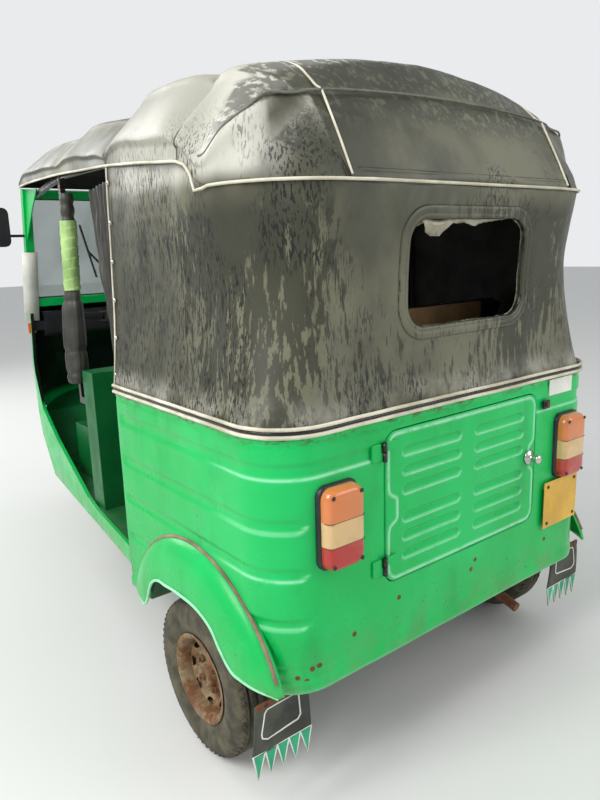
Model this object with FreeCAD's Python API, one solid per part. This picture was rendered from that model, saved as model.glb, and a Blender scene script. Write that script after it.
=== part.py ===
import FreeCAD, Part
import math
import os

# Three-wheeled auto rickshaw with a soft hood.
# Millimetres. The front faces -Y, the vehicle's left is +X, Z is up, and the
# ground lies at Z 0 under the middle of the vehicle.

V = FreeCAD.Vector

# Whole vehicle
OVERALL_LENGTH = 2625
OVERALL_WIDTH = 1300
REAR_OVERHANG = 392.5
FRONT_OVERHANG = 232.5
WHEELBASE = OVERALL_LENGTH - REAR_OVERHANG - FRONT_OVERHANG
REAR_END_Y = OVERALL_LENGTH / 2
FRONT_END_Y = -OVERALL_LENGTH / 2
REAR_AXLE_Y = REAR_END_Y - REAR_OVERHANG
FRONT_AXLE_Y = FRONT_END_Y + FRONT_OVERHANG
REAR_TRACK = 1150
REAR_WHEEL_X = REAR_TRACK / 2
FIT = 0.3
FLATNESS = 1e-5
ROD_SIDES = 10
ROD_STEP = 20
CORNER_CHORDS = 3
WIDE = (-700, 700)

# Wheels, 4.00-8 tyres on pressed rims
TYRE_RADIUS = 207.5
TYRE_WIDTH = 107
BEAD_RADIUS = 103
AXLE_RADIUS = 13
HUB_BORE = 11
TYRE_FACETS = 28
STUB_END = -112
TYRE_PROFILE = (
    # half width, radius, from the bead to the tread
    (33, BEAD_RADIUS + FIT),
    (46, 126),
    (TYRE_WIDTH / 2, 160),
    (50, 186),
    (34, TYRE_RADIUS),
)
RIM_PROFILE = (
    # out from the wheel's middle, radius, from the hub cap to the brake drum's back
    (30, HUB_BORE), (30, 32), (8, 34), (8, 62), (31, 98), (42, 113), (36, BEAD_RADIUS),
    (-40, BEAD_RADIUS), (-40, 78), (-56, 78), (-56, HUB_BORE),
)

# Tail tub, a U in plan round the engine bay
TUB_LENGTH = 752
LAMP_STANDS_OUT = 40.5
TUB_REAR_Y = REAR_END_Y - LAMP_STANDS_OUT
TUB_FRONT_Y = TUB_REAR_Y - TUB_LENGTH
TUB_BOTTOM_Z = 312
TUB_TOP_Z = 914
TUB_WALL = 12
TUB_HALF_WIDTH = 610
TUB_CORNER = 130
TUB_CHORDS = 5
HEM_HEIGHT = 26
HEM_STEP = 6
BEAD_HEIGHT = 12
BEAD_RISE = 4
BEAD_FRONT_Y = TUB_FRONT_Y + 24
TUB_BEADS = (
    # height, half width on the rear face where it ends
    (808, 330),
    (704, 510),
    (592, 510),
)

# Wheel arch, wheel house and flared wing
ARCH_RADIUS = 300
HOUSE_WALL = 6
HOUSE_INNER_X = 496
HOUSE_SKIRT_Z = 365
WING_ROOT_X = 545
WING_PROFILE = (
    # across, radius of the outer skin, radius of the inner skin, from the tub to the lip
    (WING_ROOT_X, 372, 367),
    (616, 372, 367),
    (642, 316, 311),
    (OVERALL_WIDTH / 2, 268, 266),
)
WING_LIP_RADIUS = 238
WING_FACETS = 14
WING_SHEET = 5
WING_LIP_WIDTH = 14
WING_FRONT_ANGLE = 16
WING_REAR_ANGLE = 29

# Engine door and its louvres
DOOR_HALF_WIDTH = 296
DOOR_BOTTOM_Z = 498
DOOR_TOP_Z = 869
DOOR_CORNER = 34
DOOR_GAP = 3
DOOR_SHEET = 12
DOOR_BEAD = 9
DOOR_BEAD_RISE = 4
DOOR_BEAD_INSET = 8
LOUVRE_WIDTH = 212
LOUVRE_HEIGHT = 24
LOUVRE_RISE = 9
LOUVRE_SHEET = 2
LOUVRE_ROOT = 3
LOUVRE_LIP = 5
LOUVRE_BROW = (0.6, 0.25)
SLOT_INSET = 4
LOUVRE_PITCH = 47
LOUVRES_IN_BANK = 3
LOUVRE_BANK_X = 134
LOUVRE_BANK_Z = (602, 766)
HINGE_X = 305
HINGE_RADIUS = 6
HINGE_Y = TUB_REAR_Y + 8
HINGE_HEIGHT = 44
HINGE_Z = (548, 828)
LEAF_REACH = 40
LEAF_START = 9
LEAF_LAP = 3
HANDLE_X = -268
HANDLE_Z = 690
HANDLE_ROSE = 22
HANDLE_SPAN = 76
HANDLE_SPINDLE = 14
HANDLE_GRIP = 16
HANDLE_TILT = -16
ROSE_DEPTH = 12
HANDLE_DEPTH = 36

# Lamps and plate on the tail
LAMP_X = 447
LAMP_Z = 695
LAMP_WIDTH = 104
LAMP_HEIGHT = 184
LAMP_BASE_EDGE = 6
LAMP_BASE_DEPTH = 12
LAMP_GROOVE = 3
LAMP_CORNER = 11
LAMP_REACH = 60
PLATE_X = -428
PLATE_Z = 524
PLATE_WIDTH = 172
PLATE_HEIGHT = 142
PLATE_THICKNESS = 2
PLATE_GAP = 10
PLATE_SPACER = 14
PLATE_SPACER_UP = 52
PLATE_SPACER_ASIDE = 66
FLAP_X = (505, 645)
FLAP_Y = TUB_REAR_Y - 56
FLAP_SHEET = 5
FLAP_HEM_Z = 186
FLAP_TIP_Z = 134
FLAP_TEETH = 5
FLAP_BAR = (6, 24)

# Front cowl, a shell that narrows to the nose
COWL_WALL = 14
COWL_TOP_Z = 1065
COWL_BOTTOM_Z = 328
NOSE_BOTTOM_Z = 592
COWL_SECTIONS = (
    # height, nose behind the axle, its half width, corner behind the axle, its half width,
    # half width at the tub
    (COWL_BOTTOM_Z, 70, 150, 320, 432, 580),
    (NOSE_BOTTOM_Z, -42, 120, 280, 438, 590),
    (820, 34, 190, 280, 440, 590),
    (COWL_TOP_Z, 256, 300, 290, 428, 590),
)
COWL_BULGE = 44
COWL_CHORDS = 4
COWL_FOOT = (440, 200)
DOORWAY_FRONT = (
    # behind the front axle, height, from the scuttle down the door's front edge
    (294, COWL_TOP_Z),
    (310, 770),
    (390, 622),
    (600, 530),
)
SILL_TOP_Z = 388
SILL_RISE = 14
SILL_EASE = 120
FLOOR_TOP_Z = 384
FLOOR_PLATE = 12
FLOOR_FRONT_Y = FRONT_AXLE_Y + 390
SILL_FRONT_SHARE = 0.51
SILL_FRONT_Y = FRONT_AXLE_Y + SILL_FRONT_SHARE * WHEELBASE
FLOOR_RIB_HEIGHT = 5
FLOOR_RIB_WIDTH = 26
RIB_INSET = 75
FLOOR_RIB_PITCH = 120
FLOOR_RIBS = 7
WELL_PROFILE = (
    # behind the front axle, height, from the floor up the toe board to the nose
    (390, 372),
    (294, 500),
    (245, 572),
    (-28, 610),
)
WELL_PLATE = 10
WELL_LEAN = 4

# Dashboard and front lamps
DASH_HALF = 372
DASH_Y = (FRONT_AXLE_Y + 242, FRONT_AXLE_Y + 298)
DASH_Z = (930, 1040)
DASH_EDGE = 14
DIAL_RADIUS = 40
DIAL_Z = 1012
DIAL_DEPTH = 14
DASH_BRACKET = (90, 10)
DASH_BRACKET_Z = (960, 1000)
HEADLAMP_SEAT_Y = FRONT_AXLE_Y + 38
HEADLAMP_Z = 800
HEADLAMP_RADIUS = 84
HEADLAMP_DEPTH = 66
BEZEL_DEPTH = 16
INDICATOR = (262, 892)
INDICATOR_SEAT_Y = FRONT_AXLE_Y + 84
INDICATOR_RADIUS = 37
INDICATOR_DEPTH = 34
STALK_LENGTH = 96
STALK_RADIUS = 13
LENS_DEPTH = 8

# Steering
RAKE = 28
STEER_FOOT_Y = FRONT_AXLE_Y - 80
HEAD_RADIUS = 26
HEAD_BORE = 12.8
HEAD_BOTTOM_Z = 548
HEAD_TOP_Z = 926
COLUMN_RADIUS = 12.5
COLUMN_BOTTOM_Z = 486
HANDLEBAR_Z = 1000
BAR_RADIUS = 11
CLAMP_WIDTH = 50
POD_WIDTH = 44
LEVER_WIDTH = 9
LEVER_REACH = V(0, -38, -6)
BAR_MID = V(70, 6, 6)
CLAMP_SPAN = (26, 22)
POD_LENGTH = 40
POD_GAP = 6
KNEE_LAP = 5
GRIP_RADIUS = 17
GRIP_LENGTH = 118
BAR_HALF_WIDTH = 300
BAR_SWEEP = 78
BAR_RISE = 30
FORK_X = -96
FORK_RADIUS = 18
FORK_SIDES = 12
LINK_PIVOT = (FRONT_AXLE_Y + 95, 268)
GUARD_RADIUS = FRONT_OVERHANG
GUARD_PROFILE = (
    # half width, radius, from the hem to the crown
    (68, 176),
    (68, 210),
    (42, GUARD_RADIUS),
)
GUARD_SHEET = 4
GUARD_FACETS = 16
CROWN_Z = (534, 472)
SHOULDER = V(0, 18, 428)
LINK_EYE = 26
LINK_PROFILE = (
    # behind and above the link's pivot
    (22, 8),
    (6, -22),
    (-91, -81.5),
    (-99, -38.5),
    (0, 24),
)
GUARD_BRACKET_HALF = 34
GUARD_BRACKET_Y = (118, 162)
GUARD_BRACKET_Z = (380, 452)
PERCH_WIDTH = 40
PERCH_DEPTH = 60
DAMPER_FOOT = (30, 244)
DAMPER_HEAD = 17
SPRING_ENDS = (40, 34)
DAMPER_LAP = 4
BOSS_OUT = (20, 26)
LINK_THICKNESS = 26
PERCH_Z = (430, 446)
FRONT_DAMPER_RADIUS = 12
FRONT_SPRING_RADIUS = 21
GUARD_FRONT_ANGLE = 2
GUARD_REAR_ANGLE = 14

# Windscreen, a raked frame with a flat pane
SCREEN_BASE = (FRONT_AXLE_Y + 268, 1072.3)
SCREEN_TOP = (FRONT_AXLE_Y + 394, 1557)
SCREEN_BASE_HALF = 428
SCREEN_SPREAD = 14
SCREEN_TOP_HALF = SCREEN_BASE_HALF + SCREEN_SPREAD
SCREEN_BAR = 34
SCREEN_DEPTH = 28
GUSSET = (
    # behind and above the frame's top rear corner, round the pillar's gusset
    (-8, 0),
    (140, -6),
    (60, -80),
)
GUSSET_FOOT = 0.58
GUSSET_LAP = 8
GUSSET_INSET = (16, 11)
WIPER_FOOT = (-60, 0.035)
WIPER_TIP = (150, 0.46)
BLADE_HALF = (40, 0.24)
WIPER_BAR = 8
WIPER_BOSS = 16
PANE_THICKNESS = 5
MIRROR_X = 556
MIRROR_Z = 1404
MIRROR_WIDTH = 124
MIRROR_HEIGHT = 158
MIRROR_DEPTH = 22
MIRROR_CORNER = 24
MIRROR_SHARE = 0.62
MIRROR_STALK = 11

# Driver's place
PARTITION_SHARE = 0.528
PARTITION_FRONT_Y = FRONT_AXLE_Y + PARTITION_SHARE * WHEELBASE
PARTITION_DEPTH = 92
BEAM_HEIGHT = 44
PARTITION_REAR_Y = PARTITION_FRONT_Y + PARTITION_DEPTH
PARTITION_X = 502
PARTITION_TOP_Z = 884
PARTITION_PANEL_Z = 700
POST_WIDTH = 78
SEAT_BASE_FRONT_Y = FRONT_AXLE_Y + 640
SEAT_BASE_TOP_Z = 600
SEAT_BASE_HALF = 400
PANEL = 10
CUSHION = 92
DRIVER_SEAT_HALF = 360
SEAT_GAP = 6
SEAT_CORNER = 32
REST_HALF = 330
REST_PROFILE = (
    # behind the partition's face, height, round the driver's backrest
    (0, 712),
    (0, PARTITION_TOP_Z),
    (16, 1010),
    (-34, 1010),
    (-62, PARTITION_TOP_Z),
    (-62, 712),
)

# Passenger's place and engine cover
BENCH_TOP_Z = 600
BENCH_REAR_Y = REAR_AXLE_Y + 45
BENCH_HALF = 585
ENGINE_COVER_Z = 874
COVER_HALF = 586
SEAT_HALF = 540
BACK_TOP_Z = 1108
BACK_LEAN = 62
BACK_PAD = 86
BACK_DEPTH = 97
BACK_CROWN = 14
BENCH_CUSHION = 100
SEAT_NOSE = 22
SHELF_CLEAR = 40

# Hood
HOOD_WALL = 8
HOOD_HEM_Z = 906
EAVE_Z = 1412
EAVE_REAR_Y = TUB_REAR_Y + 7
SKIRT_CHORDS = 3
SKIRT_SECTIONS = (
    # height, half width at the door, half width at the corner, rear face behind the tub's, corner radius
    (HOOD_HEM_Z, 608, 608, -3, 130),
    (1010, 596, 597, -15, 136),
    (1220, 584, 582, -10, 152),
    (EAVE_Z, 578, 599, 7, 190),
    (1530, 573, 600, 7, 190),
)
VALANCE_FIT = 1.1
VALANCE = (
    # along, height of the roof's hem over the side curtain
    (TUB_FRONT_Y, 1511),
    (REAR_AXLE_Y + 30, 1472),
    (REAR_AXLE_Y + 120, 1420),
    (REAR_AXLE_Y + 190, EAVE_Z),
)
ROOF_FRONT_Y = FRONT_AXLE_Y + 408
ROOF_SECTIONS = (
    # along, half width, edge, top of the side, shoulder inset, shoulder, crown
    (ROOF_FRONT_Y, 447, 1560, 1574, 60, 1598, 1612),
    (FRONT_AXLE_Y + 470, 452, 1562, 1592, 82, 1642, 1668),
    (FRONT_AXLE_Y + 690, 480, 1556, 1588, 104, 1668, 1698),
    (FRONT_AXLE_Y + 0.54 * WHEELBASE, 522, 1541, 1576, 112, 1664, 1696),
    (FRONT_AXLE_Y + 0.665 * WHEELBASE, 548, 1526, 1566, 116, 1662, 1692),
    (TUB_FRONT_Y - 10, 574, 1511, 1556, 120, 1650, 1680),
    (REAR_AXLE_Y - 300, 583, 1502, 1556, 122, 1674, 1702),
    (REAR_AXLE_Y - 180, 592, 1492, 1552, 126, 1682, 1710),
    (REAR_AXLE_Y - 60, 598, 1480, 1545, 128, 1674, 1704),
    (REAR_AXLE_Y + 30, 600, 1472, 1536, 130, 1650, 1682),
    (REAR_AXLE_Y + 120, 600, 1420, 1520, 150, 1668, 1702),
    (REAR_AXLE_Y + 190, 596, EAVE_Z, 1500, 180, 1660, 1700),
    (TUB_REAR_Y - 85, 573, EAVE_Z, 1470, 185, 1594, 1618),
    (TUB_REAR_Y - 32, 525, EAVE_Z, 1440, 135, 1496, 1510),
    (EAVE_REAR_Y, 412, EAVE_Z, 1416, 22, 1425, 1431),
)
WINDOW_HALF = 213
WINDOW_BOTTOM_Z = 1098
WINDOW_TOP_Z = 1338
WINDOW_CORNER = 38
TUBE = 18
TUBE_CLEAR = 16
RAIL_INSET = 52
BOW_MID_Y = TUB_FRONT_Y + 26
BOW_MID_X = 562
BOW_REAR_Y = REAR_AXLE_Y + 30
EAVE_RAIL_Z = EAVE_Z - 24
EAVE_RAIL = ((584, BOW_REAR_Y), (584, TUB_REAR_Y - 176), (448, TUB_REAR_Y - 23))
CURTAIN_RADIUS = 40
CURTAIN_BOTTOM_Z = 832
CURTAIN_TOP_Z = 1490
BOW_DRIVER_Y = PARTITION_FRONT_Y - CURTAIN_RADIUS - FIT
BOW_DRIVER_X = 501
BOW_DRIVER_FOOT_Z = 760
BOW_FOOT = 24
RAIL_HEAD = (5, -20)
TRIM_BEAD = 9
TRIM_GAP = 7
TRIM_STRIP = 3

# Running gear under the floor
RAIL_X = 280
RAIL_WIDTH = 46
RAIL_HEIGHT = 44
RAIL_TOP_Z = FLOOR_TOP_Z - FLOOR_PLATE
RAIL_REAR_Y = TUB_REAR_Y - 28
CROSS_MEMBERS = (
    # along, half width
    (FRONT_AXLE_Y + 520, 430),
    (PARTITION_FRONT_Y + 4, 470),
    (TUB_FRONT_Y - 50, 530),
    (REAR_AXLE_Y + 100, RAIL_X),
    (TUB_REAR_Y - 82, RAIL_X),
)
ARM_PIVOT = (REAR_AXLE_Y - 360, 300)
PIVOT_RADIUS = 15
PIVOT_START_X = 300
PIVOT_BRACKET = (96, 46)
PIVOT_BRACKET_X = 335
ARM_WIDTH = 34
ARM_END = 24
ARM_X = 462
BOSS_RADIUS = 44
BOSS_LENGTH = 46
SHOCK_X = 430
SHOCK_Y = REAR_AXLE_Y - 82
SHOCK_FOOT_Z = 262
SHOCK_RADIUS = 20
SPRING_RADIUS = 36
DAMPER_SHOWS = 96
PERCH_HALF = 34
ENGINE_X = (-200, 160)
ENGINE_Y = (REAR_AXLE_Y + 65, TUB_REAR_Y - 67)
ENGINE_TOP_Z = 668
GEARBOX_HALF = 130
GEARBOX_Y = (REAR_AXLE_Y - 92, ENGINE_Y[0])
GEARBOX_Z = (205, 430)
GEARBOX_EDGE = 28
SHAFT_RADIUS = 13
SHAFT_INNER_Z = 262
BOOT_RADIUS = 36
BOOT_LENGTH = 66
BOOT_TILT = 7
SHAFT_TILT = 3
SILENCER_RADIUS = 52
SILENCER_Y = TUB_REAR_Y - 166
SILENCER_Z = 258
SILENCER_X = (-330, -90)
PIPE_RADIUS = 15
INLET_X = -120
OUTLET_X = -300
OUTLET_DROP = 62
OUTLET_RUN = 130
HANGER = (38, 40)
HANGER_SINK = 6


def box(x, y, z):
    """Box between the low and high value on each axis."""
    return Part.makeBox(x[1] - x[0], y[1] - y[0], z[1] - z[0], V(x[0], y[0], z[0]))


def around(centre, size):
    """Low and high value of a size centred on a place."""
    return (centre - size / 2, centre + size / 2)


def shaft(start, end, radius):
    """True cylinder, for what turns or is turned on."""
    run = end - start
    return Part.makeCylinder(radius, run.Length, start, run)


def joined(shapes):
    """One shape from pieces that meet."""
    first, rest = shapes[0], list(shapes[1:])
    return first.multiFuse(rest).removeSplitter() if rest else first


def mirrored(shape):
    """The same shape on the vehicle's other side."""
    return shape.mirror(V(0, 0, 0), V(1, 0, 0))


def both_sides(shape):
    """A left and a right copy that don't touch."""
    return Part.makeCompound([shape, mirrored(shape)])


def side_prism(points, x):
    """A side-view outline of (y, z) points, extruded across the vehicle."""
    wire = Part.makePolygon([V(x[0], y, z) for y, z in (*points, points[0])])
    return Part.Face(wire).extrude(V(x[1] - x[0], 0, 0))


def rear_prism(points, y):
    """A rear-view outline of (x, z) points, extruded along the vehicle."""
    wire = Part.makePolygon([V(x, y[0], z) for x, z in (*points, points[0])])
    return Part.Face(wire).extrude(V(0, y[1] - y[0], 0))


def rounded_outline(across, up, radius):
    """Rectangle between two low and high values, its corners rounded in chords."""
    points = []
    for quarter, (a, b) in enumerate(((1, 1), (0, 1), (0, 0), (1, 0))):
        centre = (across[a] - (2 * a - 1) * radius, up[b] - (2 * b - 1) * radius)
        for number in range(CORNER_CHORDS + 1):
            angle = math.pi / 2 * (quarter + number / CORNER_CHORDS)
            points.append((centre[0] + radius * math.cos(angle), centre[1] + radius * math.sin(angle)))
    return points


def upright_pad(x, y, z, radius):
    """Box whose four upright edges are rounded."""
    wire = polygon([V(a, b, z[0]) for a, b in rounded_outline(x, y, radius)])
    return Part.Face(wire).extrude(V(0, 0, z[1] - z[0]))


def rear_pad(x, y, z, radius):
    """Box whose four edges along the vehicle are rounded."""
    return rear_prism(rounded_outline(x, z, radius), y)


def flat_quad(corners):
    """One face on four corners in a plane, or else two triangles."""
    a, b, c, d = corners
    normal = (b - a).cross(d - a)
    if abs(normal.normalize().dot(c - a)) < FLATNESS:
        return [Part.Face(polygon(corners))]
    return [Part.Face(polygon([a, b, c])), Part.Face(polygon([a, c, d]))]


def skin(sections, ring=False):
    """Solid with flat facets through sections of as many points each, as a pressing has."""
    count = len(sections[0])
    faces = []
    for near, far in zip(sections, sections[1:] + (sections[:1] if ring else [])):
        for i in range(count):
            j = (i + 1) % count
            corners = [near[i], near[j], far[j], far[i]]
            faces += flat_quad(corners if i < count / 2 else corners[1:] + corners[:1])
    if not ring:
        faces += [Part.Face(polygon(sections[0])), Part.Face(polygon(sections[-1]))]
    sewn = Part.Compound(faces)
    sewn.sewShape()
    solid = Part.Solid(sewn.Shells[0])
    return solid if solid.Volume > 0 else solid.reversed()


def bent_rod(points, radius, sides):
    """Bar of as many flat sides along straight runs that meet in mitres."""
    way = (points[1] - points[0]).normalize()
    across = way.cross(V(1, 0, 0) if abs(way.z) > 0.7 else V(0, 0, 1)).normalize()
    up = way.cross(across)
    ring = []
    for number in range(sides):
        angle = 2 * math.pi * (number + 0.5) / sides
        ring.append(points[0] + across * (radius * math.cos(angle)) + up * (radius * math.sin(angle)))
    sections = [ring]
    for before, place, after in zip(points, points[1:], points[2:] + [None]):
        way = (place - before).normalize()
        mitre = way + (after - place).normalize() if after else way
        ring = [corner + way * ((place - corner).dot(mitre) / way.dot(mitre)) for corner in ring]
        sections.append(ring)
    return skin(sections)


def rod(start, end, radius):
    """Round bar in flat sides, more of them on a thicker one."""
    return bent_rod([start, end], radius, ROD_SIDES + 4 * int(radius / ROD_STEP))


def strip(start, end, width):
    """Square bar between two places."""
    return bent_rod([start, end], width / math.sqrt(2), 4)


def turned(profile, centre, start, sweep, facets):
    """Facets of (x, radius) points round a wheel's axis.

    Angles run from the rear (+Y) over the top, in degrees.
    """
    y, z = centre
    sections = []
    for number in range(facets + (sweep < 360)):
        angle = math.radians(start + sweep * number / facets)
        sections.append([V(x, y + radius * math.cos(angle), z + radius * math.sin(angle))
                         for x, radius in profile])
    return skin(sections, sweep == 360)


def flipped(points):
    """Points on the other side, in the order that closes an outline."""
    return [V(-p.x, p.y, p.z) for p in reversed(points)]


def polygon(points):
    return Part.makePolygon([*points, points[0]])


def wrap(inset, z, front=TUB_FRONT_Y):
    """Upright body of the tub's plan outline, drawn in by an inset all round."""
    corner = TUB_CORNER - inset
    left = [V(TUB_HALF_WIDTH - inset, front, z[0])]
    for number in range(TUB_CHORDS + 1):
        angle = math.pi / 2 * number / TUB_CHORDS
        left.append(V(TUB_HALF_WIDTH - TUB_CORNER + corner * math.cos(angle),
                      TUB_REAR_Y - TUB_CORNER + corner * math.sin(angle), z[0]))
    return Part.Face(polygon(left + flipped(left))).extrude(V(0, 0, z[1] - z[0]))


def skirt_outline(z, front_half, half, rear, corner, inset, front):
    """Plan outline of the hood's skirt, its round corners in chords."""
    centre_x, centre_y = half - corner, TUB_REAR_Y + rear - corner
    left = [V(front_half - inset, front, z)]
    for number in range(SKIRT_CHORDS + 1):
        angle = math.pi / 2 * number / SKIRT_CHORDS
        left.append(V(centre_x + (corner - inset) * math.cos(angle),
                      centre_y + (corner - inset) * math.sin(angle), z))
    return left + flipped(left)


def skirt_solid(inset, front, over=0):
    """Lofted body of the skirt; over lets its ends run on, for cutting."""
    sections = []
    last = len(SKIRT_SECTIONS) - 1
    for number, (z, *shape) in enumerate(SKIRT_SECTIONS):
        z += {0: -over, last: over}.get(number, 0)
        sections.append(skirt_outline(z, *shape, inset, front))
    return skin(sections)


def steer_y(z):
    """Where the steering axis is at a height."""
    return STEER_FOOT_Y + z * math.tan(math.radians(RAKE))


def steer_point(z, x=0):
    return V(x, steer_y(z), z)


def screen_point(x, share, depth=0):
    """A place on the raked windscreen, by its share of the height."""
    (y0, z0), (y1, z1) = SCREEN_BASE, SCREEN_TOP
    slope = V(0, y1 - y0, z1 - z0).normalize()
    return V(x, y0 + share * (y1 - y0), z0 + share * (z1 - z0)) + V(0, slope.z, -slope.y) * depth


def cowl_outline(z, nose, nose_half, corner_y, corner_half, rear_half, rear):
    """Plan outline of the cowl, its bowed cheeks in chords, open ended at the rear."""
    nose_end, corner = V(nose_half, nose, z), V(corner_half, corner_y, z)
    chord = corner - nose_end
    out = V(chord.y, -chord.x, 0).normalize()
    left = [nose_end]
    for number in range(1, COWL_CHORDS):
        share = number / COWL_CHORDS
        left.append(nose_end + chord * share + out * (4 * share * (1 - share) * COWL_BULGE))
    left += [corner, V(rear_half, rear, z)]
    return left + flipped(left)


def cowl_solid(inset, rear=TUB_FRONT_Y, over=0):
    sections = []
    for number, (z, nose, nose_half, corner_y, corner_half, rear_half) in enumerate(COWL_SECTIONS):
        if number == 0:
            z -= over
        if number == len(COWL_SECTIONS) - 1:
            z += over
        sections.append(cowl_outline(z, FRONT_AXLE_Y + nose + inset, nose_half, FRONT_AXLE_Y + corner_y,
                                     corner_half - inset, rear_half - inset, rear))
    return skin(sections)


def roof_outline(y, half, edge, side_top, inset, shoulder_z, crown):
    """Cross-section of the roof: short sides, round shoulders, low crown."""
    root = math.sqrt(0.5)
    shoulder_x = half - inset
    left = [
        V(half, y, edge),
        V(half, y, side_top),
        V(half - inset * (1 - root), y, side_top + (shoulder_z - side_top) * root),
        V(shoulder_x, y, shoulder_z),
        V(shoulder_x / 2, y, shoulder_z + (crown - shoulder_z) * 0.75),
    ]
    return left + [V(0, y, crown)] + flipped(left)


def roof_solid(wall):
    """The roof's lofted body, or with a wall the hollow to be taken out of it."""
    sections = []
    last = len(ROOF_SECTIONS) - 1
    for number, (y, half, edge, side_top, inset, shoulder, crown) in enumerate(ROOF_SECTIONS):
        if wall:
            y += {0: wall, last: -wall}.get(number, 0)
            half -= wall
            edge -= 1
            side_top = max(side_top - wall, edge + 2)
            shoulder = max(shoulder - wall, side_top + 2)
            crown = max(crown - wall, shoulder + 2)
        sections.append(roof_outline(y, half, edge, side_top, inset, shoulder, crown))
    return skin(sections)


def roof_value(y, column):
    """A column of the roof's table at a place along it, in between by proportion."""
    for low, high in zip(ROOF_SECTIONS, ROOF_SECTIONS[1:]):
        if y <= high[0]:
            share = (y - low[0]) / (high[0] - low[0])
            return low[column] + share * (high[column] - low[column])
    return ROOF_SECTIONS[-1][column]


def tyre(x, y):
    """Tyre round its axle, closed on its inner side where the rim fills it."""
    profile = [(x + half, radius) for half, radius in TYRE_PROFILE]
    profile += [(x - half, radius) for half, radius in reversed(TYRE_PROFILE)]
    return turned(profile, (y, TYRE_RADIUS), 0, 360, TYRE_FACETS)


def rim(x, y, outward):
    """Pressed rim with its dished disc, hub, brake drum and stub axle."""
    profile = [(x + outward * offset, radius) for offset, radius in RIM_PROFILE]
    body = turned(profile, (y, TYRE_RADIUS), 0, 360, TYRE_FACETS)
    face, end = x + outward * RIM_PROFILE[0][0], x + outward * STUB_END
    return joined([body, shaft(V(face, y, TYRE_RADIUS), V(end, y, TYRE_RADIUS), AXLE_RADIUS)])


def floor_pan():
    """Floor plate inside the cowl's and the sills' walls, with pressed ribs."""
    reach = cowl_solid(COWL_WALL + FIT)
    plate = box(WIDE, (FLOOR_FRONT_Y, TUB_FRONT_Y), (RAIL_TOP_Z, FLOOR_TOP_Z)).common(reach)
    ribs = []
    first = -FLOOR_RIB_PITCH * (FLOOR_RIBS - 1) / 2
    for number in range(FLOOR_RIBS):
        x = first + number * FLOOR_RIB_PITCH
        ribs.append(box(around(x, FLOOR_RIB_WIDTH), (FLOOR_FRONT_Y + RIB_INSET, TUB_FRONT_Y - RIB_INSET),
                        (FLOOR_TOP_Z, FLOOR_TOP_Z + FLOOR_RIB_HEIGHT)))
    return joined([plate] + ribs)


def cowl_shell():
    return cowl_solid(0).cut(cowl_solid(COWL_WALL, TUB_FRONT_Y + 1, 1))


def front_cowl():
    """Nose, scuttle and the knee panels that sweep back into the sills."""
    bottom = COWL_BOTTOM_Z
    nose = FRONT_END_Y
    doorway = [(FRONT_AXLE_Y + y, z) for y, z in DOORWAY_FRONT]
    outline = [(nose, COWL_TOP_Z), *doorway, (SILL_FRONT_Y, SILL_TOP_Z + SILL_RISE), (SILL_FRONT_Y, bottom),
               (FRONT_AXLE_Y + COWL_FOOT[0], bottom), (FRONT_AXLE_Y + COWL_FOOT[1], NOSE_BOTTOM_Z),
               (nose, NOSE_BOTTOM_Z)]
    return cowl_shell().common(side_prism(outline, WIDE))


def sills():
    """Door sills, the cowl's own wall carried back to the tub."""
    outline = [(SILL_FRONT_Y, COWL_BOTTOM_Z), (SILL_FRONT_Y, SILL_TOP_Z + SILL_RISE),
               (SILL_FRONT_Y + SILL_EASE, SILL_TOP_Z), (TUB_FRONT_Y, SILL_TOP_Z),
               (TUB_FRONT_Y, COWL_BOTTOM_Z)]
    return cowl_shell().common(side_prism(outline, WIDE))


def front_bulkhead():
    """Toe board and the roof of the front wheel's well, with the head tube."""
    lower = [(FRONT_AXLE_Y + y, z) for y, z in WELL_PROFILE]
    upper = [(y + WELL_LEAN, z + WELL_PLATE) for y, z in reversed(lower)]
    plate = side_prism(lower + upper, WIDE).common(cowl_solid(COWL_WALL + FIT))
    plate = plate.common(box(WIDE, (FRONT_END_Y, FLOOR_FRONT_Y - FIT), (0, COWL_TOP_Z)))
    pieces = [plate, rod(steer_point(HEAD_BOTTOM_Z), steer_point(HEAD_TOP_Z), HEAD_RADIUS)]
    bore = shaft(steer_point(HEAD_BOTTOM_Z - 20), steer_point(HEAD_TOP_Z + 20), HEAD_BORE)
    return joined(pieces).cut(bore)


def windscreen_frame():
    """Raked ring with the pillar gussets behind its top corners."""
    def ring(half_low, half_high, low, high):
        corners = [screen_point(half_low, low), screen_point(half_high, high),
                   screen_point(-half_high, high), screen_point(-half_low, low)]
        return Part.Face(Part.makePolygon(corners + corners[:1]))

    normal = screen_point(0, 0, 1) - screen_point(0, 0)
    height = math.dist(SCREEN_BASE, SCREEN_TOP)
    margin = SCREEN_BAR / height
    outer = ring(SCREEN_BASE_HALF, SCREEN_TOP_HALF, 0, 1).extrude(normal * SCREEN_DEPTH)
    inner = ring(SCREEN_BASE_HALF - SCREEN_BAR, SCREEN_TOP_HALF - SCREEN_BAR, margin, 1 - margin)
    frame = outer.cut(inner.extrude(normal * SCREEN_DEPTH))
    top = screen_point(0, 1, SCREEN_DEPTH)
    low = screen_point(0, GUSSET_FOOT, SCREEN_DEPTH)
    outline = [(top.y + y, top.z + z) for y, z in GUSSET] + [(low.y, low.z), (low.y - GUSSET_LAP, low.z)]
    gusset = side_prism(outline, [SCREEN_TOP_HALF - inset for inset in GUSSET_INSET])
    return joined([frame, gusset, mirrored(gusset)])


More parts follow.
